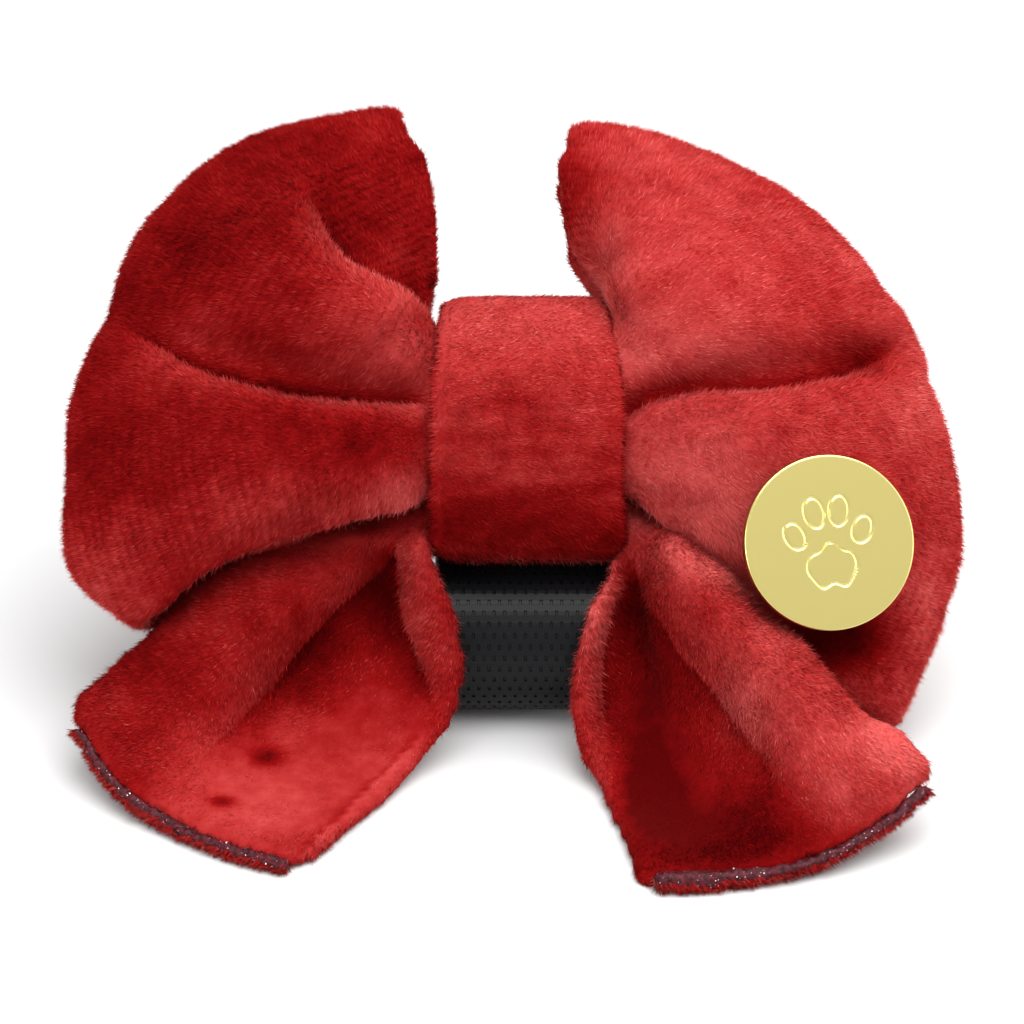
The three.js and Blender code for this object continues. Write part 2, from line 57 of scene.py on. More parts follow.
KNOT_LOW, KNOT_HIGH = (np.array(corner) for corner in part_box("knot_band"))
KNOT_CENTRE = (KNOT_LOW + KNOT_HIGH) / 2
DOWN = np.array([0.0, 0.0, -1.0])


class Plane:
    """A plane through the knot's middle that leans back by an angle from upright, and faces the front."""

    def __init__(self, lean):
        self.up = np.array([0.0, math.sin(lean), math.cos(lean)])
        self.front = np.array([0.0, -math.cos(lean), math.sin(lean)])

    def read(self, points):
        """How far across, up and out of the plane each point is."""
        offset = points - KNOT_CENTRE
        return offset[:, 0], offset @ self.up, offset @ self.front

    def spots(self, points):
        """Where each point is across and up the plane, in millimetres."""
        across, up, _ = self.read(points)
        return np.stack([across, up], axis=1) / MM


BOW = Plane(math.radians(40))
TAILS = Plane(math.radians(56))


# ---- small numeric helpers

def unit(vectors):
    length = np.linalg.norm(vectors, axis=-1, keepdims=True)
    return vectors / np.maximum(length, 1e-12)


def smooth_step(low, high, value):
    t = np.clip((value - low) / (high - low), 0.0, 1.0)
    return t * t * (3 - 2 * t)


LATTICE = 32
LATTICE_LAYERS = 8
LATTICE_VALUES = np.random.default_rng(11).uniform(-1, 1, (LATTICE_LAYERS, LATTICE, LATTICE, LATTICE))


def soft_noise(points, size, layer=0):
    """Smooth noise from -1 to 1 at each point, with lumps of that size in metres."""
    scaled = points / size
    cell = np.floor(scaled).astype(int)
    t = scaled - cell
    t = t * t * (3 - 2 * t)
    table = LATTICE_VALUES[layer]
    total = np.zeros(len(points))
    for corner in np.ndindex(2, 2, 2):
        place = (cell + corner) % LATTICE
        weight = np.where(corner, t, 1 - t).prod(axis=1)
        total += weight * table[tuple(place.T)]
    return total


def layered_noise(points, layers):
    """The sum of noises given as rows of amount, size in metres and lattice layer."""
    return sum(amount * soft_noise(points, size, layer) for amount, size, layer in layers)


def marked(spots, marks):
    """The sum of soft round marks given as rows of across, up, half width, half height and amount."""
    total = np.zeros(len(spots))
    for middle_across, middle_up, half_width, half_height, amount in marks:
        across = (spots[:, 0] - middle_across) / half_width
        up = (spots[:, 1] - middle_up) / half_height
        total += amount * np.exp(-(across ** 2 + up ** 2))
    return total


# ---- materials

def set_inputs(node, values):
    for name, value in values.items():
        node.inputs[name].default_value = value


def plain_material(name, colour, roughness, specular=0.5, metallic=0.0, sheen=None):
    """A material of one colour. sheen is the sheen's weight and roughness."""
    material = bpy.data.materials.new(name)
    material.use_nodes = True
    shader = material.node_tree.nodes["Principled BSDF"]
    set_inputs(shader, {"Base Color": (*colour, 1), "Roughness": roughness})
    set_inputs(shader, {"Specular IOR Level": specular, "Metallic": metallic})
    if sheen:
        set_inputs(shader, {"Sheen Weight": sheen[0], "Sheen Roughness": sheen[1], "Sheen Tint": SHEEN_TINT})
    return material


def uneven_material(name, scale, detail, stops, bump, **finish):
    """A material whose bump and colour follow one noise. bump is its strength and its height in metres."""
    material = plain_material(name, stops[0][1], **finish)
    nodes, links = material.node_tree.nodes, material.node_tree.links
    shader = nodes["Principled BSDF"]
    place = nodes.new("ShaderNodeTexCoord")
    noise = nodes.new("ShaderNodeTexNoise")
    set_inputs(noise, {"Scale": scale, "Detail": detail, "Roughness": 0.6})
    links.new(place.outputs["Object"], noise.inputs["Vector"])
    ramp = nodes.new("ShaderNodeValToRGB")
    elements = ramp.color_ramp.elements
    while len(elements) < len(stops):
        elements.new(0.5)
    for element, (position, colour) in zip(elements, stops):
        element.position = position
        element.color = (*colour, 1)
    links.new(noise.outputs["Fac"], ramp.inputs["Fac"])
    links.new(ramp.outputs["Color"], shader.inputs["Base Color"])
    relief = nodes.new("ShaderNodeBump")
    set_inputs(relief, {"Strength": bump[0], "Distance": bump[1]})
    links.new(noise.outputs["Fac"], relief.inputs["Height"])
    links.new(relief.outputs["Normal"], shader.inputs["Normal"])
    return material, noise, ramp


# The plush's colours, from nap that lies away from the light to nap that shows its ends, and their sheen. The
# same steps also carry the painted light and shade.
PLUSH_TONES = [
    (0.066, 0.0010, 0.0014),
    (0.102, 0.0016, 0.0020),
    (0.145, 0.0023, 0.0027),
    (0.190, 0.0036, 0.0040),
    (0.240, 0.0064, 0.0066),
    (0.300, 0.0130, 0.0125),
    (0.365, 0.0238, 0.0226),
    (0.440, 0.0415, 0.0388),
    (0.530, 0.0670, 0.0620),
    (0.630, 0.1060, 0.0985),
]
TONE_SHEEN = [0.04, 0.06, 0.09, 0.14, 0.22, 0.32, 0.42, 0.5, 0.55, 0.6]
LAST_TONE = len(PLUSH_TONES) - 1
SHEEN_TINT = (1.0, 0.26, 0.22, 1.0)
# The ground cloth is paler than the pile in its middle tones, and uneven by this share of the whole range.
GROUND_PALER = 1.6
PALER_TONES = range(4, 8)
GROUND_NOISE = 0.35
# The melted edge is dark, with redder and paler lumps.
HEM_STOPS = [(0.35, (0.020, 0.002, 0.003)), (0.6, (0.080, 0.008, 0.014)), (0.8, (0.150, 0.018, 0.028))]


def ground_material():
    """The woven ground of the plush, seen between the fibres: as light or dark as the nap and the painted
    light and shade above it.
    """
    stops = []
    for index, (red, green, blue) in enumerate(PLUSH_TONES):
        paler = GROUND_PALER if index in PALER_TONES else 1
        stops.append((index / LAST_TONE, (red, paler * green, paler * blue)))
    material, noise, ramp = uneven_material("plush_ground", 420.0, 4.0, stops, (0.5, 0.4 * MM),
                                            roughness=0.9, specular=0.0, sheen=(0.1, 0.4))
    nodes, links = material.node_tree.nodes, material.node_tree.links
    # The nap attribute holds the nap together with the painted light and shade of the pile over each point.
    nap = nodes.new("ShaderNodeAttribute")
    nap.attribute_name = "nap"
    uneven = nodes.new("ShaderNodeMath")
    uneven.operation = "MULTIPLY_ADD"
    uneven.inputs[1].default_value = GROUND_NOISE
    links.new(noise.outputs["Fac"], uneven.inputs[0])
    links.new(nap.outputs["Fac"], uneven.inputs[2])
    links.new(uneven.outputs["Value"], ramp.inputs["Fac"])
    return material


GROUND = ground_material()
FIBRES = [plain_material(f"pile_tone_{index}", tone, 0.8, specular=0.0, sheen=(sheen, 0.3))
          for index, (tone, sheen) in enumerate(zip(PLUSH_TONES, TONE_SHEEN))]
WEBBING = plain_material("glossy_webbing", (0.004, 0.004, 0.005), 0.3, specular=0.16)
GOLD = plain_material("pale_gold", (0.73, 0.62, 0.22), 0.22, metallic=1.0)
HEM, _, _ = uneven_material("melted_edge", 1600.0, 3.0, HEM_STOPS, (0.8, 0.3 * MM),
                            roughness=0.4, specular=0.15)
GLITTER = plain_material("melted_beads", (0.55, 0.42, 0.43), 0.15, specular=0.8, metallic=0.6)


# ---- meshes

def link(name, mesh):
    obj = bpy.data.objects.new(name, mesh)
    bpy.context.scene.collection.objects.link(obj)
    return obj


def seated(obj, slot, *nodes):
    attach(obj, "root")
    if nodes:
        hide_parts(*nodes)
    return obj


def finished_mesh(obj):
    """The object's mesh with its modifiers worked in."""
    bpy.context.view_layer.update()
    evaluated = obj.evaluated_get(bpy.context.evaluated_depsgraph_get())
    mesh = bpy.data.meshes.new_from_object(evaluated)
    obj.modifiers.clear()
    old = obj.data
    obj.data = mesh
    bpy.data.meshes.remove(old)
    return mesh


def triples(items, attribute, kind=float):
    """Three numbers of each item, as the rows of an array."""
    flat = np.empty(len(items) * 3, dtype=kind)
    items.foreach_get(attribute, flat)
    return flat.reshape(-1, 3)


def vertex_array(mesh):
    return triples(mesh.vertices, "co")


def triangle_array(mesh):
    mesh.calc_loop_triangles()
    return triples(mesh.loop_triangles, "vertices", np.int32)


def triangle_tree(mesh):
    return BVHTree.FromPolygons(vertex_array(mesh).tolist(), triangle_array(mesh).tolist())


def move_vertices(mesh, points):
    mesh.vertices.foreach_set("co", points.ravel())
    mesh.update()


def swell_out(mesh, amounts):
    """Move each vertex along its normal."""
    move_vertices(mesh, vertex_array(mesh) + triples(mesh.vertex_normals, "vector") * amounts[:, None])


def dress(mesh, *materials, smooth=True):
    mesh.materials.clear()
    for material in materials:
        mesh.materials.append(material)
    mesh.polygons.foreach_set("use_smooth", np.full(len(mesh.polygons), smooth))


def mesh_from_arrays(name, vertices, faces):
    """A mesh whose faces all have the same number of corners."""
    mesh = bpy.data.meshes.new(name)
    corners = faces.shape[1]
    mesh.vertices.add(len(vertices))
    mesh.vertices.foreach_set("co", np.ascontiguousarray(vertices, dtype=np.float32).ravel())
    mesh.loops.add(faces.size)
    mesh.loops.foreach_set("vertex_index", np.ascontiguousarray(faces, dtype=np.int32).ravel())
    mesh.polygons.add(len(faces))
    mesh.polygons.foreach_set("loop_start", np.arange(0, faces.size, corners, dtype=np.int32))
    mesh.update(calc_edges=True)
    return mesh


def cad_copy(node, name):
    """A copy of the CAD solid's mesh, joined up and with its flat faces whole again."""
    mesh = NODES[node].data.copy()
    work = bmesh.new()
    work.from_mesh(mesh)
    bmesh.ops.remove_doubles(work, verts=work.verts, dist=0.001 * MM)
    bmesh.ops.join_triangles(work, faces=work.faces, angle_face_threshold=0.7, angle_shape_threshold=1.2)
    work.to_mesh(mesh)
    work.free()
    return link(name, mesh)


def even_out(obj, voxel, smoothing=0):
    """Cover the object with small even faces, and relax them that many times."""
    remesh = obj.modifiers.new("even_faces", "REMESH")
    remesh.mode = "VOXEL"
    remesh.voxel_size = voxel
    remesh.use_smooth_shade = True
    if smoothing:
        relax = obj.modifiers.new("relax", "SMOOTH")
        relax.factor = 0.5
        relax.iterations = smoothing
    return finished_mesh(obj)


CLOTH_VOXEL = 0.9 * MM
ROUNDING_LEVELS = 2


def fine_cloth(node, inset, lumps, plane, draws, folds=(), bumps=(), whole=False, hem=None):
    """The CAD wall as a fine, even surface with its folds pressed in and a little unevenness.

    draws, folds and bumps are tables on the plane. whole is true where the folds move both faces of the wall,
    and hem names the cut edge that the cloth runs out to.
    """
    obj = cad_copy(node, f"{node}_cloth")
    rounding = obj.modifiers.new("rounding", "SUBSURF")
    rounding.levels = ROUNDING_LEVELS
    rounding.render_levels = ROUNDING_LEVELS
    mesh = even_out(obj, CLOTH_VOXEL, 2)
    draw_cloth(mesh, plane, draws)
    if hem:
        reach_hem(mesh, hem)
    if folds:
        press_folds(mesh, plane, folds, bumps, whole)
        mesh = even_out(obj, CLOTH_VOXEL, 1)
    swell_out(mesh, layered_noise(vertex_array(mesh), lumps) - inset)
    dress(mesh, GROUND)
    return seated(obj, "plush", node)


# ---- folds and draws

def beside_line(line, spots):
    """How far each spot is from the line, positive on its left, and the share of the line before it."""
    line = np.array(line, dtype=float)
    starts, steps = line[:-1], np.diff(line, axis=0)
    lengths = np.linalg.norm(steps, axis=1)
    before = np.concatenate([[0], np.cumsum(lengths)[:-1]])
    distance = np.full(len(spots), np.inf)
    share = np.zeros(len(spots))
    for start, step, length, run in zip(starts, steps, lengths, before):
        t = np.clip((spots - start) @ step / length ** 2, 0, 1)
        offset = spots - start - t[:, None] * step
        size = np.linalg.norm(offset, axis=1)
        nearer = size < np.abs(distance)
        left = (step[0] * offset[:, 1] - step[1] * offset[:, 0]) > 0
        distance[nearer] = np.where(left, size, -size)[nearer]
        share[nearer] = ((run + t * length) / lengths.sum())[nearer]
    return distance, share


@dataclass
class Fold:
    """A line where the cloth turns under itself, on a plane in millimetres.

    The cloth is deepest at the line. On each side it comes back up within that side's reach, over a round
    shoulder or, on a slow left side, in a long slope. Left and right are for a walker along the line. The
    padded side swells out past it by swell, and the fold dies out over the shares of the line in fade, at its
    start and end. left_tone and right_tone are the change of tone beside the line and its reach: painted
    shade down in the crease and a painted highlight along the lit lip, where the nap turns over as well.
    carry says how far behind the front layer the cloth still follows, as a multiple of the shift.
    """

    line: list
    depth: float
    left: float
    right: float
    left_slow: bool = False
    swell: float = 0.0
    fade: tuple = (0.0, 0.0)
    left_tone: tuple = (0, 1)
    right_tone: tuple = (0, 1)
    carry: float = 0.0

    def taper(self, share):
        start, end = self.fade
        return smooth_step(-0.01, start, share) * smooth_step(1.01, 1 - end, share)

    def shift(self, spots):
        """How far the cloth moves out from the plane, in millimetres."""
        distance, share = beside_line(self.line, spots)
        reach = np.where(distance > 0, self.left, self.right)
        t = np.abs(distance) / reach
        recovered = np.sqrt(1 - (1 - np.minimum(t, 1)) ** 2)
        if self.left_slow:
            recovered = np.where(distance > 0, 1 - np.exp(-t), recovered)
        rise = self.depth * (recovered - 1)
        padded = distance < 0 if self.left_slow else distance > 0
        t = t / SWELL_REACH
        rise += np.where(padded, self.swell * t ** 2 * np.exp(2 - 2 * t), 0)
        return rise * self.taper(share)

    def tone(self, spots):
        """Painted shade and highlight beside the line, where the nap turns over as well."""
        distance, share = beside_line(self.line, spots)
        tones = (self.left_tone, self.right_tone)
        sides = [change * np.exp(-(distance / reach) ** 2) for change, reach in tones]
        return np.where(distance > 0, *sides) * self.taper(share)


FAR = 200 * MM
FRONT_LAYER = 3.4 * MM
FRONT_FADE = 0.7 * FRONT_LAYER
LEAST_WALL = 1.2 * MM
SWELL_REACH = 1.5


def depth_behind(points, tree, direction):
    """How far each point lies behind the frontmost part of the same cloth, seen along that direction."""
    back = Vector(-direction)
    depth = np.zeros(len(points))
    for index, point in enumerate(points + direction * FAR):
        distance = tree.ray_cast(Vector(point), back)[3]
        depth[index] = FAR - distance if distance is not None else 0.0
    return depth


def press_folds(mesh, plane, folds, bumps, whole):
    """Work the folds into the front layer of a padded piece, or into the whole of a thin one."""
    points = vertex_array(mesh)
    spots = plane.spots(points)
    shifts = [(fold.shift(spots) * MM, fold.carry) for fold in folds]
    shifts.append((marked(spots, bumps) * MM, 0.0))
    if whole:
        total = sum(shift for shift, _ in shifts)
    else:
        tree = triangle_tree(mesh)
        depth = depth_behind(points, tree, plane.front)
        thickness = depth + depth_behind(points, tree, -plane.front)
        total = np.zeros(len(points))
        for shift, carry in shifts:
            last = FRONT_LAYER + np.maximum(FRONT_FADE, carry * np.abs(shift))
            total += shift * smooth_step(last, FRONT_LAYER, depth)
        total = np.maximum(total, -np.maximum(thickness - LEAST_WALL, 0))
    move_vertices(mesh, points + plane.front * total[:, None])


def draw_cloth(mesh, plane, draws):
    """Pull the cloth aside along lines."""
    for line, pull, reach in draws:
        points = vertex_array(mesh)
        distance, _ = beside_line(line, plane.spots(points))
        weight = smooth_step(reach, 0, np.abs(distance))
        direction = np.array([pull[0], 0, 0]) + plane.up * pull[1]
        move_vertices(mesh, points + direction * (MM * weight)[:, None])


HEM_REACH = 4.0 * MM
HEM_PULL = 1.3 * MM
HEM_FULL_PULL_WITHIN = 0.5 * MM
HEM_OVERLAP = 0.2 * MM


def reach_hem(mesh, node):
    """Bring the cloth's cut edge out to meet its hem."""
    tree = triangle_tree(NODES[node].data)
    points = vertex_array(mesh)
    for index, point in enumerate(points):
        nearest, _, _, distance = tree.find_nearest(Vector(point), HEM_REACH)
        if nearest is not None and distance > 0:
            pull = HEM_PULL * smooth_step(HEM_REACH, HEM_FULL_PULL_WITHIN, distance)
            points[index] += (np.array(nearest) - point) / distance * min(pull, distance + HEM_OVERLAP)
    move_vertices(mesh, points)


# ---- pile

CLEAR_OF_FACE = 0.3 * MM


class Surface:
    """A cloth mesh as arrays, with how open each of its faces is."""

    def __init__(self, obj):
        mesh = obj.data
        self.points = vertex_array(mesh)
        self.normals = triples(mesh.vertex_normals, "vector")
        self.faces = triangle_array(mesh)
        corners = self.points[self.faces]
        cross = np.cross(corners[:, 1] - corners[:, 0], corners[:, 2] - corners[:, 0])
        self.areas = np.linalg.norm(cross, axis=1) / 2
        self.centres = corners.mean(axis=1)
        self.face_normals = unit(cross)
        self.tree = triangle_tree(mesh)

    def covered(self, reach):
        """True for each face that looks at more of the same cloth within that reach."""
        found = np.zeros(len(self.faces), dtype=bool)
        for index, (centre, normal) in enumerate(zip(self.centres, self.face_normals)):
            start = Vector(centre + normal * CLEAR_OF_FACE)
            found[index] = self.tree.ray_cast(start, Vector(normal), reach)[0] is not None
        return found

    def scatter(self, count, weights, seed):
        """Random places, as dense as each face's weight says, with their normals and the seeded generator."""
        rng = np.random.default_rng(seed)
        chance = self.areas * weights
        chosen = rng.choice(len(self.faces), size=count, p=chance / chance.sum())
        u, v = rng.random(count), rng.random(count)
        over = u + v > 1
        u[over], v[over] = 1 - u[over], 1 - v[over]
        shares = np.stack([1 - u - v, u, v], axis=1)
        corners = self.faces[chosen]
        places = (self.points[corners] * shares[:, :, None]).sum(axis=1)
        normals = unit((self.normals[corners] * shares[:, :, None]).sum(axis=1))
        return places, normals, rng


RIB_PITCH = 1.25 * MM
RIB_HEIGHT = 0.1 * MM
RIB_SLOPE = 0.45
RIB_WANDER = 0.3 * MM


class Ribs:
    """The backing's ribs under each fibre: how high it stands, how deep in a groove and on what slope."""

    def __init__(self, places, distance, strength):
        phase = 2 * np.pi * (distance + RIB_WANDER * soft_noise(places, 3.5 * MM, 7)) / RIB_PITCH
        self.height = RIB_HEIGHT * strength * np.cos(phase)
        self.groove = strength * (0.5 - 0.5 * np.cos(phase)) ** 2
        self.slope = RIB_SLOPE * strength * np.sin(phase)


# Angles of the fibres are in radians. A spread is one standard deviation, and a share is out of 1.
FIBRE_LENGTH = 1.15 * MM
FIBRE_WIDTH = 0.162 * MM
NARROWEST, WIDTH_RANGE = 0.8, 0.4
ROOT_DEPTH = 0.1 * MM
LENGTH_SPREAD = 0.12
LAID_SHARE = 0.65
LAID_LENGTH = 0.62
SMALL_SWIRL = 0.35
TURN_SPREAD = 0.15
RISE = 0.6
RISE_WAVE = 0.2
RISE_SPREAD = 0.12
RISE_LIMITS = (0.1, 1.3)
ROLL_SPREAD = 0.4
TIP_SHARE = 0.14
TIP_RISE = 0.5
TIP_NARROWER = 0.4

# How calm fibres differ: less uneven, flatter, shorter and wider, with a few that glint.
CALM_EVENNESS = 0.6
CALM_FLATTER = 0.42
CALM_SHORTER = 0.35
CALM_WIDER = 0.45
CALM_TUFTS = 0.8
CALM_TONE_SPREAD = 0.6
CALM_SHADE = 0.4
GLINT_SHARE = 0.22
GLINT_TONE = 1.8

# Tones are steps of PLUSH_TONES.
MIDDLE_TONE = 3.8
GROOVE_SHADE = 1.7
TONE_SPREAD = 0.3
# TIP_TONE makes the standing tips paler, a painted sheen.
TIP_TONE = 1.5
TUFTS = 0.75
BLADE_SHADING = 0.1


def fibre_directions(places, normals, combed, swirl, calm, rng):
    """Which way each fibre points, and which fibres stand up as tips."""
    count = len(places)
    uneven = 1 - CALM_EVENNESS * calm
    side = np.cross(normals, combed)
    turn = swirl * (soft_noise(places, 2.4 * MM, 3) + soft_noise(places, 7 * MM, 4))
    turn = (turn + SMALL_SWIRL * soft_noise(places, 1.1 * MM, 2)) * uneven + rng.normal(0, TURN_SPREAD, count)
    lie = combed * np.cos(turn)[:, None] + side * np.sin(turn)[:, None]
    wave = RISE_WAVE * soft_noise(places, 3.1 * MM, 5) + rng.normal(0, RISE_SPREAD, count)
    tips = rng.random(count) < TIP_SHARE * (1 - calm)
    rise = np.clip(RISE + wave * uneven - CALM_FLATTER * calm + TIP_RISE * tips, *RISE_LIMITS)
    return lie * np.cos(rise)[:, None] + normals * np.sin(rise)[:, None], tips


def fibre_corners(roots, normals, direction, tips, calm, cut, rng):
    """The three corners of each fibre's blade: two at its root and one at its tip."""
    count = len(roots)
    laid = rng.random(count) < LAID_SHARE
    reach = FIBRE_LENGTH * np.where(laid, LAID_LENGTH, 1) * (1 - CALM_SHORTER * calm)
    reach[tips] = FIBRE_LENGTH
    reach *= (1 + LENGTH_SPREAD * rng.normal(0, 1, count)) * (1 - cut)
    across = unit(np.cross(direction, normals))
    roll = rng.normal(0, ROLL_SPREAD, count) * (1 - CALM_EVENNESS * calm)
    facing = np.cross(across, direction)
    across = across * np.cos(roll)[:, None] + facing * np.sin(roll)[:, None]
    width = FIBRE_WIDTH * (NARROWEST + WIDTH_RANGE * rng.random(count))
    width = width * (1 - TIP_NARROWER * tips) * (1 + CALM_WIDER * calm)
    corners = np.empty((count, 3, 3))
    corners[:, 0] = roots - across * width[:, None] / 2
    corners[:, 1] = roots + across * width[:, None] / 2
    corners[:, 2] = roots + direction * reach[:, None]
    return corners


def fibre_tones(places, light, groove, tips, calm, rng):
    """Which of the plush's tones each fibre has."""
    count = len(places)
    tufts = TUFTS * (soft_noise(places, 1.9 * MM, 6) + 0.7 * soft_noise(places, 0.9 * MM, 0))
    tone = MIDDLE_TONE + light - GROOVE_SHADE * groove + tufts * (1 - CALM_TUFTS * calm)
    tone += rng.normal(0, TONE_SPREAD, count) * (1 + CALM_TONE_SPREAD * calm)
    tone += TIP_TONE * tips * (1 - CALM_EVENNESS * calm)
    glints = rng.random(count) < GLINT_SHARE * calm
    tone += np.where(glints, GLINT_TONE, 0) - CALM_SHADE * calm
    return np.clip(np.round(tone), 0, LAST_TONE).astype(np.int32)


def make_pile(name, places, normals, combed, ribs, light, calm, rng, swirl=0.35, cut=0.0):
    """Leaning fibres, each one narrow blade, that lie the way they are combed.

    light raises or lowers their tone, calm is 1 where they are short, even and flat, swirl is how far the
    combing wanders, and cut is the share of their length that is cut off.
    """
    count = len(places)
    combed = unit(combed - normals * (combed * normals).sum(axis=1, keepdims=True))
    direction, tips = fibre_directions(places, normals, combed, swirl, calm, rng)
    roots = places + normals * (ribs.height - ROOT_DEPTH)[:, None]
    corners = fibre_corners(roots, normals, direction, tips, calm, cut, rng)
    blade_normal = np.cross(corners[:, 1] - corners[:, 0], corners[:, 2] - corners[:, 0])
    flipped = (blade_normal * normals).sum(axis=1) < 0
    corners[flipped] = corners[flipped][:, [1, 0, 2]]
    mesh = mesh_from_arrays(name, corners.reshape(-1, 3), np.arange(count * 3).reshape(-1, 3))
    dress(mesh, *FIBRES)
    mesh.polygons.foreach_set("material_index", fibre_tones(places, light, ribs.groove, tips, calm, rng))
    outward = unit(blade_normal) * np.where(flipped, -1, 1)[:, None]
    shading = unit(normals + combed * ribs.slope[:, None] + BLADE_SHADING * outward)
    attribute = mesh.attributes.new("custom_normal", "FLOAT_VECTOR", "POINT")
    attribute.data.foreach_set("vector", np.repeat(shading, 3, axis=0).astype(np.float32).ravel())
    return seated(link(name, mesh), "plush")


GROUND_SHADE = 0.7


def paint_ground_shading(cloth, light):
    """Tell the ground cloth how light the nap and the painted light and shade are over each of its points."""
    nap = (MIDDLE_TONE + light - GROUND_SHADE) / LAST_TONE - GROUND_NOISE / 2
    attribute = cloth.data.attributes.new("nap", "FLOAT", "POINT")
    attribute.data.foreach_set("value", nap.astype(np.float32))


def nap_and_painted_shading(spots, marks, folds):
    """The nap's brushed marks together with painted light and shade, and the painted shade and highlight
    beside each fold.
    """
    return marked(spots, marks) + sum(fold.tone(spots) for fold in folds)


FIBRE_SHARE = 1.0
WING_FIBRES, KNOT_FIBRES, TAIL_FIBRES, FRINGE_FIBRES = (
    int(count * FIBRE_SHARE) for count in (198000, 78000, 88000, 7000))


# Each draw is a line of the cloth, how far it is pulled across and up, and how far from it that is felt. Each
# mark or bump is its place across and up, half its width and height, and the change at its middle.

# ---- wings

LEFT_WING_FOLDS = [
    Fold([(-54.5, 15.5), (-50, 11.5), (-43, 7), (-37, 4.5), (-31, 3), (-24.5, 2.3), (-12.5, 2.2)],
         depth=6, left=4.5, right=1.2, swell=1.6, fade=(0.25, 0.05),
         left_tone=(-3.6, 1.8), right_tone=(1.5, 2.4)),
    Fold([(-31, 36), (-28, 29.5), (-26, 25), (-24, 22), (-21.5, 20.2), (-18.5, 19.3), (-15.5, 18.3),
          (-12, 15)],
         depth=6.5, left=9, right=3.2, left_slow=True, swell=2, fade=(0.4, 0.12),
         left_tone=(-1.6, 8), right_tone=(2.6, 4.5), carry=1.4),
]
RIGHT_WING_FOLDS = [
    Fold([(10.5, -0.6), (14, 1.2), (17, 2.8), (22.5, 3.8), (30, 3.8), (35, 4.6), (41, 6.6), (47, 10.5),
          (50, 13)],
         depth=5.4, left=4.5, right=1.3, swell=1, fade=(0.03, 0.2),
         left_tone=(-3.4, 2.1), right_tone=(0.3, 2.5)),
]
LEFT_WING_DRAWS = [
    ([(-20, -12.8), (-27, -14.5), (-34, -18), (-42, -21.5)], (0, 2.1), 6),
    ([(-61, 5), (-61.5, -8), (-59, -13)], (-1.2, -0.3), 9),
    ([(-15, 40), (-13, 34), (-12, 28), (-12, 22)], (1, 0), 6),
]
RIGHT_WING_DRAWS = [
    ([(4.5, 36), (4, 30), (4.5, 26)], (-0.8, 0), 7),
    ([(7, 45), (6.5, 41.5), (6, 38.5)], (-2, -0.3), 4.8),
    ([(10, 23), (12.5, 18)], (-2.9, 0), 8),
    ([(48, 16), (50.5, 11.5)], (2.2, 0), 5),
    ([(50, -36), (45, -35), (38, -33), (30, -29)], (0, -2.2), 6),
]
RIGHT_WING_BUMPS = [(11, 23, 6, 9, 4.2), (43, 10, 5, 2.5, -1.2)]
# Brushed nap and painted light and shade: darker marks paint shade in hollows and under the crease, lighter
# ones paint light on the roll and along the lower edge.
LEFT_WING_NAP_AND_SHADING = [
    (-20.5, -4.5, 4.5, 4, -1.4), (-34, 28, 24, 14, -1.2), (-30, 40, 22, 5, -0.8), (-58, 6, 5, 14, -1),
    (-55, -3, 5, 5, -0.9), (-45, 24, 7, 5, -0.8), (-51, 19, 6, 6, -0.8), (-52, -11, 7, 5, -0.8),
    (-50, -2, 9, 8, -0.6), (-30, -3, 13, 4.5, -1.1), (-42, 24, 6, 6, -0.6), (-53, 15, 5, 5, -0.8),
    (-15, 30, 7, 12, -0.3), (-16, 11, 8, 6, 1.9), (-15, 4, 6, 5, 1.4), (-14, 23, 4, 4, 1),
    (-24, 8, 8, 4, 0.5), (-16.5, 26, 4, 4, 1), (-15, -10, 4, 3, 0.9), (-19, 23, 3, 4, 0.9),
    (-51, -25, 6, 4, 0.8), (-47, 10, 7, 6, 0.8), (-30, -14, 16, 5, 1.3), (-16, -12, 7, 4, 2.6),
    (-56, -20, 7, 8, 1.9),
]
LEFT_WING_RIBS = [
    (-34, -12, 18, 7, 1), (-52, -14, 9, 10, 0.8), (-17, 28, 12, 13, 1), (-40, 26, 16, 12, 0.6),
    (-22, 14, 10, 6, 0.5), (-45, 6, 10, 8, 0.5),
]
WING_CALM = [(24, 20, 14, 14, 0.7), (-22, 14, 7, 4, 0.5)]
RIGHT_WING_RIBS = [(4.5, 27, 4, 12, 0.9), (50, -26, 9, 12, 0.9)]
# Brushed nap and painted light and shade: the darkest marks paint the shadow under the disc and the shade in
# the crease, lighter ones paint light on the inner rim.
RIGHT_WING_NAP_AND_SHADING = [
    (4, 34, 5, 9, -2.9), (17, 40, 6, 5, 0.6), (10, 22, 5, 7, 1.4), (22, 24, 14, 14, 0.5),
    (22, -10, 11, 9, 1.8), (9, 14, 6, 5, 0.6), (14, 8, 5, 5, 0.7), (25, -16, 6, 4, 1.5), (5.5, -8, 3, 4, 0.8),
    (43, 25, 6, 6, 0.7), (12, -11, 4, 6, 0.8), (20, 9, 12, 6, 1.2), (52, 6, 6, 14, 1.5), (43, 16, 7, 5, -0.5),
    (43, 9, 6, 3.5, -2.4), (38, -28.5, 6, 3.4, -4.2), (36, -25.5, 4, 3, -1.5), (43.5, -28, 5.5, 4.5, -2.9),
    (51, -24, 3.5, 7, 1.6), (30, -22, 4, 4, 0.8),
]
WING_LUMPS = [(0.35 * MM, 9 * MM, 0), (0.12 * MM, 4 * MM, 1)]
WING_MOTTLE = [(0.35, 11 * MM, 1), (0.55, 3.4 * MM, 5)]
WING_INSET = 0.15 * MM
WING_REACH = 13 * MM
WING_BACK_SHARE = 0.22
WING_HIDDEN_SHARE = 0.08
WING_FAINT_RIBS = 0.12
WING_BACK = -0.15
WING_UPWARD = 0.55
WING_DROOP = 0.35
RIM_LIGHT = 1.3


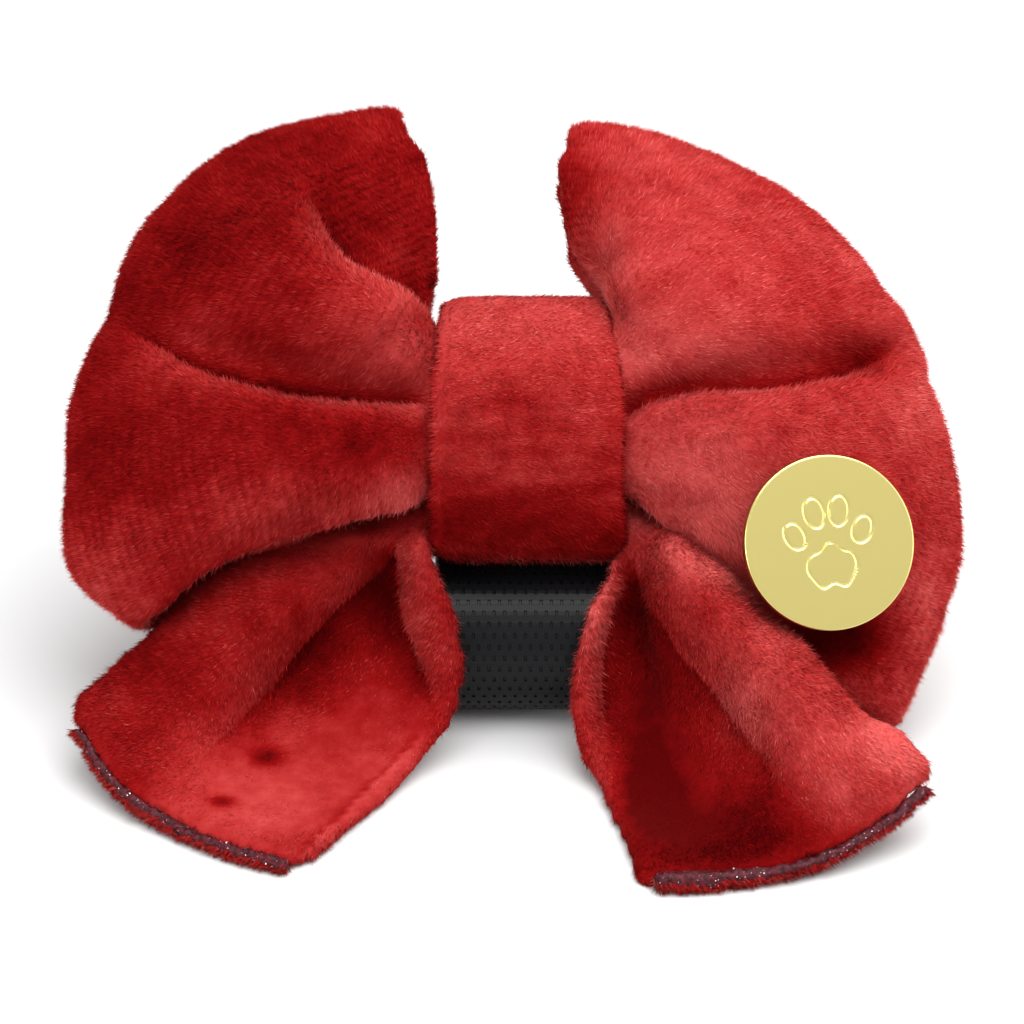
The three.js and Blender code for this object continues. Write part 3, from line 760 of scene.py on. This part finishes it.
def add_wing(node, seed, tone, folds, draws, bumps, nap, rib_marks):
    """A wing's cloth and its pile, combed out from the knot along the bow and a little down."""
    cloth = fine_cloth(node, WING_INSET, WING_LUMPS, BOW, draws, folds, bumps)
    surface = Surface(cloth)

    def light_at(points):
        return tone + layered_noise(points, WING_MOTTLE) + nap_and_painted_shading(BOW.spots(points), nap, folds)

    paint_ground_shading(cloth, light_at(surface.points))
    facing = surface.face_normals @ BOW.front
    weights = np.where(facing > WING_BACK, 1.0, WING_BACK_SHARE)
    weights = np.where(surface.covered(WING_REACH) & (facing < 0), WING_HIDDEN_SHARE, weights)
    places, normals, rng = surface.scatter(WING_FIBRES, weights, seed)
    across, up, lift = BOW.read(places)
    spots = BOW.spots(places)
    strength = (WING_FAINT_RIBS + marked(spots, rib_marks)) * (1 + 0.5 * soft_noise(places, 5 * MM, 2))
    ribs = Ribs(places, np.sqrt(across ** 2 + up ** 2 + lift ** 2), np.clip(strength, 0, 1))
    out = np.outer(across, [1, 0, 0]) + up[:, None] * BOW.up * WING_UPWARD
    combed = unit(out) + WING_DROOP * DOWN
    calm = np.clip(marked(spots, WING_CALM), 0, 1)
    rim = RIM_LIGHT * smooth_step(0.45, 0.1, np.abs(normals @ BOW.front))
    pile = make_pile(f"{node}_pile", places, normals, combed, ribs, light_at(places) + rim, calm, rng)


add_wing("left_wing", 21, 0.2, LEFT_WING_FOLDS, LEFT_WING_DRAWS, [], LEFT_WING_NAP_AND_SHADING, LEFT_WING_RIBS)
add_wing("right_wing", 22, 1.7, RIGHT_WING_FOLDS, RIGHT_WING_DRAWS, RIGHT_WING_BUMPS, RIGHT_WING_NAP_AND_SHADING,
         RIGHT_WING_RIBS)


# ---- knot band

KNOT_DRAWS = [([(-10, 18), (0, 18), (10, 18), (12, 18)], (-0.8, 0.8), 12)]
# A patch in the knot's middle that is a little darker.
KNOT_DARKER_PATCH = [(-1.5, 1.5, 3, 1.5, -1.2)]
KNOT_LUMPS = [(0.3 * MM, 7 * MM, 0), (0.1 * MM, 3 * MM, 1)]
KNOT_TONE, KNOT_TOP_LIGHT, KNOT_LOW_SHADE = 1.4, 1.4, 2.6
KNOT_STREAKS, KNOT_STREAK_LIGHT = (0.25, 1, 1), 1.2
KNOT_REACH = 24 * MM
KNOT_HIDDEN_SHARE = 0.05
KNOT_FAINT_RIBS = 0.1
KNOT_EDGE_SHADE = 1.5
KNOT_DROOP = 0.25


def knot_light(points):
    """The knot's painted light and shade: bright over the top, streaked and dark towards the bottom."""
    _, up, _ = BOW.read(points)
    light = KNOT_TONE + KNOT_TOP_LIGHT * smooth_step(2 * MM, 14 * MM, up)
    light -= KNOT_LOW_SHADE * smooth_step(-5 * MM, -16 * MM, up)
    streaks = KNOT_STREAK_LIGHT * soft_noise(points * KNOT_STREAKS, 1.5 * MM, 1)
    light += streaks * smooth_step(4 * MM, -4 * MM, up)
    return light + marked(BOW.spots(points), KNOT_DARKER_PATCH)


def add_knot(seed):
    """The knot's cloth and its pile, combed sideways."""
    cloth = fine_cloth("knot_band", 0, KNOT_LUMPS, BOW, KNOT_DRAWS)
    surface = Surface(cloth)
    paint_ground_shading(cloth, knot_light(surface.points))
    sides = 1 + 1.5 * smooth_step(0.3, 0.8, np.abs(surface.face_normals[:, 0]))
    weights = np.where(surface.covered(KNOT_REACH), KNOT_HIDDEN_SHARE, sides)
    places, normals, rng = surface.scatter(KNOT_FIBRES, weights, seed)
    _, up, _ = BOW.read(places)
    sideways = 1 - 2 * smooth_step(-0.2, -0.6, normals[:, 0])
    combed = np.outer(sideways, [1, 0, 0]) - KNOT_DROOP * BOW.up
    light = knot_light(places) - KNOT_EDGE_SHADE * np.abs(normals[:, 0]) ** 3
    ribs = Ribs(places, up, np.full(len(places), KNOT_FAINT_RIBS))
    calm = 0.5 * smooth_step(-2 * MM, 8 * MM, up)
    pile = make_pile("knot_band_pile", places, normals, combed, ribs, light, calm, rng, swirl=0.3)


add_knot(23)


# ---- tails

LEFT_TAIL_FOLDS = [
    Fold([(-17, -13.5), (-22, -18.5), (-26.5, -23), (-31, -28), (-35, -33), (-40, -40), (-44, -46)],
         depth=3.8, left=7, right=3, left_slow=True, swell=1.2, fade=(0.1, 0.55),
         left_tone=(-2.4, 5), right_tone=(0.9, 3)),
    Fold([(-12, -36), (-13, -31), (-14.5, -27), (-16.3, -23), (-17, -18.5), (-17.3, -13.5)],
         depth=4, left=4, right=1.8, left_slow=True, swell=1.2, fade=(0.35, 0.05),
         left_tone=(-2.4, 3.5), right_tone=(1.5, 3)),
    Fold([(-29.5, -61), (-26, -56), (-21, -48), (-16, -41), (-12.5, -37)],
         depth=0.6, left=1.5, right=1.5, fade=(0.1, 0.2),
         left_tone=(-1.3, 0.9), right_tone=(0.8, 1.6)),
]
RIGHT_TAIL_FOLDS = [
    Fold([(34, -56), (32.5, -53), (29, -45), (24.5, -37.5), (19.5, -30.5), (15.8, -23.5), (13.5, -15.5)],
         depth=5, left=6, right=3.5, left_slow=True, swell=1, fade=(0.4, 0.05),
         left_tone=(-2, 5), right_tone=(0.6, 3)),
    Fold([(13.2, -17.5), (10.8, -23.5), (9.6, -29), (9.6, -34.5), (11, -43)],
         depth=2.8, left=4.5, right=2.6, left_slow=True, swell=1, fade=(0.05, 0.45),
         left_tone=(-2, 4.5), right_tone=(0.9, 3)),
]
LEFT_TAIL_DRAWS = [
    ([(-14, -9.5), (-22.5, -13), (-37, -21), (-43, -23.5)], (0, 5.5), 9),
    ([(-12, -12), (-10, -18), (-9, -24), (-8.5, -31), (-10, -36)], (1.2, 0), 6),
    ([(-60, -33), (-60, -37), (-58.5, -41)], (-1.1, 1), 6),
    ([(-58.5, -41.5), (-58, -42.5)], (-0.6, 1.8), 3.5),
]
RIGHT_TAIL_DRAWS = [
    ([(14.5, -12), (18, -15.5), (22, -21), (25, -24)], (0, 4.2), 8),
    ([(12, -15), (9.5, -21), (8, -28), (7.5, -36), (8, -41)], (-1.5, 0), 5),
    ([(47, -43), (49, -46), (50, -50), (49, -54)], (1.9, 0.6), 8),
    ([(49, -53), (48.5, -54)], (0.4, 1.2), 3.5),
    ([(37, -35), (43, -39)], (0, -1.7), 6),
]
RIGHT_TAIL_CORNER = [([(14, -62), (15, -64)], (-0.9, -1.6), 5)]
# Brushed nap, two small dark spots, and painted light and shade: darker marks paint the shade in the trough
# beside the raised rim, lighter ones the lit floor of the tail.
LEFT_TAIL_NAP_AND_SHADING = [
    (-32, -50, 11, 9, 1.6), (-49, -45, 7, 6, -1), (-17, -43, 6, 10, 1), (-16, -35, 7, 6, -0.8),
    (-42, -47, 6, 6, 1), (-47, -33, 6, 5, -0.8), (-31, -36, 4, 3, 1), (-15, -18, 3, 5, 1.2),
    (-27, -27, 5, 6, -1.2), (-20, -22, 4, 6, -1.2), (-52, -36, 8, 8, -0.3), (-50, -30, 6, 4, -0.9),
    (-31, -23, 6, 4, -0.8), (-33, -50, 6, 5, 0.4), (-32, -22, 7, 3, 0.3), (-33.9, -42, 1.9, 1.7, -4.5),
    (-38.9, -50.2, 1.7, 0.9, -4.5),
]
LEFT_TAIL_CALM = [(-32, -47, 15, 12, 1.5), (-18, -36, 8, 12, 1)]
LEFT_TAIL_RIBS = [(-12.5, -26, 3.5, 14, 0.8), (-46, -34, 9, 8, 0.4)]
RIGHT_TAIL_CALM = [(16, -38, 6, 15, 1), (19, -52, 10, 10, 1), (44, -44, 8, 5, 0.8)]
RIGHT_TAIL_RIBS = [(8, -28, 3, 14, 0.8), (26, -28, 6, 8, 0.3)]
# Brushed nap and painted light and shade: dark marks paint the shade in the deep trough, light ones the lit
# rim strip and the panel that faces the lamps.
RIGHT_TAIL_NAP_AND_SHADING = [
    (14.5, -23, 2.5, 6, -1), (15.5, -41, 4.2, 13, -3.4), (24, -57, 12, 8, -4.2), (16, -48, 5, 6, -2.6),
    (7.5, -19, 4.5, 7.5, 4.4), (12, -12, 6, 3, 2.6), (26, -21.5, 6, 3.5, 3.6), (33, -30.5, 4, 3, 1),
    (49, -48, 4, 6, 1.5), (36, -39, 4, 4, 0.6), (9.5, -28, 3.5, 7, 1.2), (10, -48, 2.5, 10, 1.8),
    (19, -18, 4, 5, 2.8), (27, -40, 4, 5, 1.3), (35, -46, 5, 4, 1), (25, -26, 7, 9, 0.2),
    (31, -34, 7, 9, 1.9), (45, -45, 7, 6, 3.4), (38, -53, 5, 4, 2.9), (33, -49, 4, 4, 0.8),
    (31, -43, 4, 4, 0.6),
]
TAIL_TONE = 0.6
TAIL_LUMPS = [(0.2 * MM, 8 * MM, 0), (0.1 * MM, 3 * MM, 1)]
TAIL_MOTTLE = [(0.3, 10 * MM, 1), (0.3, 3.4 * MM, 5)]
TAIL_INSET = -0.25 * MM
TAIL_UNDER = -0.3
TAIL_UNDER_SHARE = 0.4
TAIL_DROOP = 0.2
HEM_TRIM = 0.6
HEM_TRIM_FULL, HEM_TRIM_NONE = 0.5 * MM, 3.5 * MM


def add_tail(node, hem, seed, folds, draws, nap, calm_marks, rib_marks):
    """A tail's cloth and its pile, combed out from the knot and trimmed short along the hem."""
    cloth = fine_cloth(node, TAIL_INSET, TAIL_LUMPS, TAILS, draws, folds, whole=True, hem=hem)
    surface = Surface(cloth)

    def light_at(points):
        return TAIL_TONE + layered_noise(points, TAIL_MOTTLE) + nap_and_painted_shading(TAILS.spots(points), nap, folds)

    paint_ground_shading(cloth, light_at(surface.points))
    weights = np.where(surface.face_normals[:, 2] > TAIL_UNDER, 1.0, TAIL_UNDER_SHARE)
    places, normals, rng = surface.scatter(TAIL_FIBRES, weights, seed)
    spots = TAILS.spots(places)
    offset = places - KNOT_CENTRE
    combed = unit(offset) + TAIL_DROOP * DOWN
    calm = np.clip(marked(spots, calm_marks), 0, 1)
    strength = 0.25 + 0.4 * soft_noise(places, 12 * MM, 2) + marked(spots, rib_marks)
    ribs = Ribs(places, np.linalg.norm(offset, axis=1), np.clip(strength, 0, 1) * (1 - 0.8 * calm))
    hem_tree = triangle_tree(NODES[hem].data)
    gap = np.array([hem_tree.find_nearest(Vector(place))[3] for place in places])
    cut = HEM_TRIM * smooth_step(HEM_TRIM_NONE, HEM_TRIM_FULL, gap)
    pile = make_pile(f"{node}_pile", places, normals, combed, ribs, light_at(places), calm, rng, cut=cut)
    return cloth, pile


left_tail = add_tail("left_tail", "left_hem", 24, LEFT_TAIL_FOLDS, LEFT_TAIL_DRAWS, LEFT_TAIL_NAP_AND_SHADING,
                     LEFT_TAIL_CALM, LEFT_TAIL_RIBS)
right_tail = add_tail("right_tail", "right_hem", 25, RIGHT_TAIL_FOLDS, RIGHT_TAIL_DRAWS + RIGHT_TAIL_CORNER,
                      RIGHT_TAIL_NAP_AND_SHADING, RIGHT_TAIL_CALM, RIGHT_TAIL_RIBS)


# ---- webbing loop

SLOT_PITCH = 1.36 * MM
ROW_PITCH = 1.5 * MM
SLOT_WIDTH = 0.26 * MM
SLOT_LENGTH = 0.6 * MM
SLOT_SLOPE = 0.07 * MM
SLOT_DEPTH = 0.22 * MM
ROW_RIPPLE = 0.03 * MM
EDGE_DROP = 0.35 * MM
EDGE_WIDTH = 0.5 * MM
ROUTE_STEP = 0.2 * MM
ROUTE_SOFTNESS = 1.1 * MM
SLIVER = 2 * MM * MM


def loop_route(node):
    """The outer line of the webbing from the side, as points (y, z) in order, and its thickness."""
    mesh = NODES[node].data
    low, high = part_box(node)
    middle = Vector(((low[0] + high[0]) / 2, (low[1] + high[1]) / 2, low[2] + 0.3 * (high[2] - low[2])))
    outer, inner = set(), set()
    for face in mesh.polygons:
        if abs(face.normal.x) > 0.5 or face.area < SLIVER:
            continue
        ring = outer if face.normal.dot(face.center - middle) > 0 else inner
        for index in face.vertices:
            place = mesh.vertices[index].co
            ring.add((round(place.y, 6), round(place.z, 6)))
    ordered = sorted(outer, key=lambda p: math.atan2(p[1] - middle.z, p[0] - middle.y))
    inner = np.array(sorted(inner))
    thickness = min(np.hypot(*(inner - ordered[0]).T))
    return np.array(ordered), thickness


def lengths_along(points):
    return np.concatenate([[0], np.cumsum(np.linalg.norm(np.diff(points, axis=0), axis=1))])


def at_lengths(stations, lengths, points):
    """The points of a line at the given distances along it."""
    return np.stack([np.interp(stations, lengths, points[:, axis]) for axis in (0, 1)], axis=1)


def eased_loop(points):
    """The closed line with its corners eased, and how far along it each of its points is."""
    closed = np.vstack([points, points[:1]])
    lengths = lengths_along(closed)
    count = round(lengths[-1] / ROUTE_STEP)
    even = at_lengths(np.arange(count) * lengths[-1] / count, lengths, closed)
    away = np.minimum(np.arange(count), count - np.arange(count)) * ROUTE_STEP
    kernel = np.exp(-0.5 * (away / ROUTE_SOFTNESS) ** 2)
    spectrum = np.fft.rfft(kernel / kernel.sum())[:, None]
    even = np.fft.irfft(np.fft.rfft(even, axis=0) * spectrum, n=count, axis=0)
    closed = np.vstack([even, even[:1]])
    return closed, lengths_along(closed)


def grid_lines(cells, pitch, half_slot):
    """Lines across a row of cells that follow the edges of a slot in the middle of each one."""
    offsets = [-half_slot - SLOT_SLOPE, -half_slot, half_slot, half_slot + SLOT_SLOPE]
    lines = [(cell + 0.5) * pitch + offset for cell in range(cells) for offset in offsets]
    return np.array([0.0] + lines + [cells * pitch])


def slot_profile(lines, pitch, half_slot):
    """How deep in a slot each line is, from 0 at its rim to 1 on its floor, and which cell it is in."""
    cell = np.clip(np.floor(lines / pitch + 1e-6), 0, None).astype(int)
    off_centre = np.abs(lines - (cell + 0.5) * pitch)
    return np.clip((half_slot + SLOT_SLOPE - off_centre) / SLOT_SLOPE, 0, 1), cell


def add_webbing():
    """The loop of webbing, with staggered rows of small slots between its dashes."""
    node = "webbing_loop"
    low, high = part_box(node)
    route, thickness = loop_route(node)
    closed, lengths = eased_loop(route)
    rows = round(lengths[-1] / ROW_PITCH)
    row_pitch = lengths[-1] / rows
    along = grid_lines(rows, row_pitch, SLOT_LENGTH / 2)[:-1]
    width = high[0] - low[0]
    columns = 2 * round(width / SLOT_PITCH)
    half_pitch = width / columns
    across = grid_lines(columns, half_pitch, SLOT_WIDTH / 2)
    deep_along, row = slot_profile(along, row_pitch, SLOT_LENGTH / 2)
    deep_across, column = slot_profile(across, half_pitch, SLOT_WIDTH / 2)
    staggered = (row[:, None] + column[None, :]) % 2 == 0
    off_the_edges = (across > half_pitch) & (across < width - half_pitch)
    depth = SLOT_DEPTH * np.minimum.outer(deep_along, deep_across) * staggered * off_the_edges
    edge_round = EDGE_DROP * (1 - np.clip(np.minimum(across, width - across) / EDGE_WIDTH, 0, 1)) ** 2
    place = at_lengths(along, lengths, closed)
    ahead = np.roll(place, -3, axis=0) - np.roll(place, 3, axis=0)
    outward = unit(np.stack([ahead[:, 1], -ahead[:, 0]], axis=1))
    ripple = ROW_RIPPLE * np.cos(2 * np.pi * along / row_pitch)
    sink = depth + edge_round[None, :] + ripple[:, None]
    points = np.empty((len(along), len(across) + 2, 3))
    points[:, 1:-1, 0] = low[0] + across
    points[:, 1:-1, 1:] = place[:, None, :] - outward[:, None, :] * sink[:, :, None]
    inner = place - outward * thickness
    points[:, 0, 0], points[:, -1, 0] = low[0], high[0]
    points[:, 0, 1:], points[:, -1, 1:] = inner, inner
    index = np.arange(points.shape[0] * points.shape[1]).reshape(points.shape[:2])
    after = np.roll(index, -1, axis=0)
    right = np.roll(index, -1, axis=1)
    faces = np.stack([index, right, np.roll(after, -1, axis=1), after], axis=-1).reshape(-1, 4)
    mesh = mesh_from_arrays("webbing", points.reshape(-1, 3), faces)
    dress(mesh, WEBBING, smooth=False)
    seated(link("webbing", mesh), "webbing", node)


add_webbing()


# ---- gold disc

DISC_RINGS = 76
DISC_SPOKES = 320
DISC_HUB = 0.02 * MM
DISC_BEVEL = 0.22 * MM
BEVEL_STEPS = 6
GROOVE_WIDTH = 0.34 * MM
GROOVE_DEPTH = 0.11 * MM
TOUCH = 0.01 * MM

# A paw print in outline: rows of the middle across and up, half width, half height and turn of each toe.
PAW_TOES = [
    (-4.5, 1.3, 1.25, 1.8, 0.45), (-1.65, 4, 1.3, 1.95, 0.15),
    (1.65, 4, 1.3, 1.95, -0.15), (4.5, 1.3, 1.25, 1.8, -0.45),
]
PAW_PAD = (0, -2.9, 3.3, 2.6)


def disc_frame(node):
    """The face of the disc: its middle, the way it looks, its radius and its thickness."""
    mesh = NODES[node].data
    area = np.array([face.area for face in mesh.polygons])
    normals = np.array([face.normal[:] for face in mesh.polygons])
    front = normals[np.argmax(area * (normals[:, 1] < 0))]
    points = vertex_array(mesh)
    height = points @ front
    rim = points[height > height.max() - TOUCH]
    centre = (rim.min(axis=0) + rim.max(axis=0)) / 2
    offset = points - centre
    away = np.linalg.norm(offset - np.outer(offset @ front, front), axis=1)
    wide = points[away > away.max() - TOUCH] @ front
    bevel = height.max() - wide.max()
    thickness = height.max() - wide.min() + bevel
    return centre, front, away.max(), thickness


def ellipse_distance(x, y, middle_x, middle_y, half_x, half_y, turn=0.0):
    """Roughly how far each place is from the edge of an ellipse."""
    dx, dy = x - middle_x, y - middle_y
    along = (dx * math.cos(turn) + dy * math.sin(turn)) / half_x
    up = (-dx * math.sin(turn) + dy * math.cos(turn)) / half_y
    reach = np.hypot(along, up)
    slope = np.hypot(along / half_x, up / half_y) / np.maximum(reach, 1e-9)
    return (reach - 1) / np.maximum(slope, 1e-9)


def paw_groove(x, y):
    """How deep the engraving is, from 0 to 1, at places given in millimetres."""
    edges = [ellipse_distance(x, y, *toe) for toe in PAW_TOES]
    middle_x, middle_y, half_x, half_y = PAW_PAD
    squeezed = half_x * (1 - 0.16 * np.clip((y - middle_y) / half_y, -1, 1))
    lobes = middle_y + 0.35 * np.cos(x * 2.0)
    edges.append(ellipse_distance(x * half_x / squeezed, y, middle_x, lobes, half_x, half_y))
    nearest = np.min(np.abs(edges), axis=0)
    return 1 - smooth_step(0.25, 0.5, nearest / (GROOVE_WIDTH / MM))


def add_disc():
    """The gold disc as rings from its hub to its bevelled rim and round to the back, with its engraving."""
    node = "gold_disc"
    centre, front, radius, thickness = disc_frame(node)
    side = unit(np.cross([0, 0, 1.0], front))
    up = np.cross(front, side)
    flat_radius = radius - DISC_BEVEL
    rings = [(r, 0.0) for r in np.linspace(DISC_HUB, flat_radius, DISC_RINGS)]
    for a in np.linspace(0, math.pi / 2, BEVEL_STEPS)[1:]:
        rings.append((flat_radius + DISC_BEVEL * math.sin(a), DISC_BEVEL * (math.cos(a) - 1)))
    rings += [(radius, DISC_BEVEL - thickness), (flat_radius, -thickness), (DISC_HUB, -thickness)]
    rings = np.array(rings)
    angle = np.linspace(0, 2 * np.pi, DISC_SPOKES, endpoint=False)
    x = np.outer(rings[:, 0], np.cos(angle))
    y = np.outer(rings[:, 0], np.sin(angle))
    height = np.repeat(rings[:, 1:], DISC_SPOKES, axis=1)
    height[:DISC_RINGS] -= GROOVE_DEPTH * paw_groove(x[:DISC_RINGS] / MM, y[:DISC_RINGS] / MM)
    points = centre + x[..., None] * side + y[..., None] * up + height[..., None] * front
    index = np.arange(x.size).reshape(x.shape)
    after = np.roll(index, -1, axis=1)
    faces = np.stack([index[:-1], index[1:], after[1:], after[:-1]], axis=-1).reshape(-1, 4)
    mesh = mesh_from_arrays("disc", points.reshape(-1, 3), faces)
    work = bmesh.new()
    work.from_mesh(mesh)
    bmesh.ops.holes_fill(work, edges=[edge for edge in work.edges if edge.is_boundary], sides=0)
    bmesh.ops.recalc_face_normals(work, faces=work.faces)
    work.to_mesh(mesh)
    work.free()
    dress(mesh, GOLD)
    seated(link("disc", mesh), "gold", node)


add_disc()


# ---- hems

HEM_VOXEL = 0.22 * MM
HEM_SWELL = 0.12 * MM
HEM_LUMPS = [(0.25 * MM, 0.9 * MM, 1), (0.14 * MM, 0.4 * MM, 2)]
BEADS = 260
BEAD_SIZE, BEAD_SPREAD = 0.05 * MM, 0.09 * MM
BEAD_TILT = 0.45
BEAD_LIFT = 0.04 * MM
BEAD_CORNERS = (0, 2.1, 4.2)
FRINGE_UNDER = 0.2
FRINGE_TONE = 0.8
RIGHT_HEM_END = [([(15, -63), (17, -64)], (-1, 0.3), 4)]
RIGHT_HEM_THICK = [(17, -64, 12, 6, 0.5)]


def add_hem(node, draws, thick_marks):
    """The melted cut edge of a tail, lumpy and glittering."""
    obj = cad_copy(node, f"{node}_edge")
    mesh = even_out(obj, HEM_VOXEL)
    draw_cloth(mesh, TAILS, draws)
    points = vertex_array(mesh)
    thicker = marked(TAILS.spots(points), thick_marks) * MM
    swell_out(mesh, HEM_SWELL + layered_noise(points, HEM_LUMPS) + thicker)
    dress(mesh, HEM)
    return seated(obj, "hem", node)


def add_glitter(hem, seed):
    """Small hard beads of melted pile that catch the light."""
    surface = Surface(hem)
    places, normals, rng = surface.scatter(BEADS, np.ones(len(surface.faces)), seed)
    size = BEAD_SIZE + BEAD_SPREAD * rng.random(BEADS)
    tilt = unit(normals + rng.normal(0, BEAD_TILT, normals.shape))
    side = unit(np.cross(tilt, rng.normal(0, 1, tilt.shape)))
    other = np.cross(tilt, side)
    middle = places + normals * BEAD_LIFT
    ring = [middle + (side * math.cos(a) + other * math.sin(a)) * size[:, None] for a in BEAD_CORNERS]
    vertices = np.stack(ring, axis=1).reshape(-1, 3)
    mesh = mesh_from_arrays(f"{hem.name}_glitter", vertices, np.arange(len(vertices)).reshape(-1, 3))
    mesh.materials.append(GLITTER)
    return seated(link(f"{hem.name}_glitter", mesh), "hem")


def add_fringe(hem, seed):
    """Pile of the tail's underside that shows below the melted edge."""
    surface = Surface(hem)
    weights = np.where(surface.face_normals[:, 2] < FRINGE_UNDER, 1.0, 0.0)
    places, normals, rng = surface.scatter(FRINGE_FIBRES, weights, seed)
    outward = (places - KNOT_CENTRE) * (1, 1, 0)
    combed = unit(outward) + TAIL_DROOP * DOWN
    none = np.zeros(len(places))
    ribs = Ribs(places, none, none)
    return make_pile(f"{hem.name}_fringe", places, normals, combed, ribs, none + FRINGE_TONE, none, rng)


# For each hem: its tail, how it is drawn aside, and where it is thicker.
HEMS = [
    ("left_hem", left_tail, LEFT_TAIL_DRAWS, []),
    ("right_hem", right_tail, RIGHT_TAIL_DRAWS + RIGHT_HEM_END, RIGHT_HEM_THICK),
]
for index, (node, (cloth, pile), draws, thick_marks) in enumerate(HEMS):
    edge = add_hem(node, draws, thick_marks)
    glitter = add_glitter(edge, 40 + index)
    fringe = add_fringe(edge, 50 + index)


# ---- floor, light and camera

FLOOR_HALF = 3.0
# Each softbox: its name, place, size and power in watts.
SOFTBOXES = [
    ("top_softbox", (0.25, -0.1, 1.0), (1.3, 1.1), 19),
    ("left_softbox", (-0.8, -0.6, 0.35), (0.6, 0.5), 4),
    ("right_softbox", (0.9, -0.4, 0.45), (0.4, 0.6), 2),
]
SKY_STRENGTH = 0.85
VIEW_ELEVATION = math.radians(28)
VIEW_DISTANCE = 0.45
VIEW_LENS = 119.7
VIEW_SENSOR = 36
LOOK_AT = Vector(KNOT_CENTRE) + Vector((-2.11, -5.03, -9.45)) * MM


def add_floor():
    mesh = bpy.data.meshes.new("floor")
    corners = [(FLOOR_HALF * x, FLOOR_HALF * y, 0) for x, y in ((-1, -1), (1, -1), (1, 1), (-1, 1))]
    mesh.from_pydata(corners, [], [(0, 1, 2, 3)])
    mesh.materials.append(plain_material("pale_floor", (0.6, 0.6, 0.6), 0.9, specular=0.1))
    obj = link("floor", mesh)


def aim(obj, place, direction):
    """Put a lamp or camera there, and turn it that way."""
    obj.location = place
    obj.rotation_euler = direction.to_track_quat("-Z", "Y").to_euler()


def add_light():
    world = bpy.data.worlds.new("studio")
    world.use_nodes = True
    set_inputs(world.node_tree.nodes["Background"], {"Color": (1, 1, 1, 1), "Strength": SKY_STRENGTH})
    bpy.context.scene.world = world
    for name, place, size, power in SOFTBOXES:
        lamp = bpy.data.lights.new(name, "AREA")
        lamp.shape = "RECTANGLE"
        lamp.size, lamp.size_y = size
        lamp.energy = power
        aim(link(name, lamp), place, Vector(KNOT_CENTRE) - Vector(place))


def add_camera():
    camera = bpy.data.cameras.new("camera")
    camera.lens = VIEW_LENS
    camera.sensor_width = VIEW_SENSOR
    obj = link("camera", camera)
    away = Vector((0, -math.cos(VIEW_ELEVATION), math.sin(VIEW_ELEVATION)))
    aim(obj, LOOK_AT + away * VIEW_DISTANCE, -away)
    bpy.context.scene.camera = obj


add_floor()
add_light()
add_camera()
bpy.context.scene.view_settings.view_transform = "Standard"
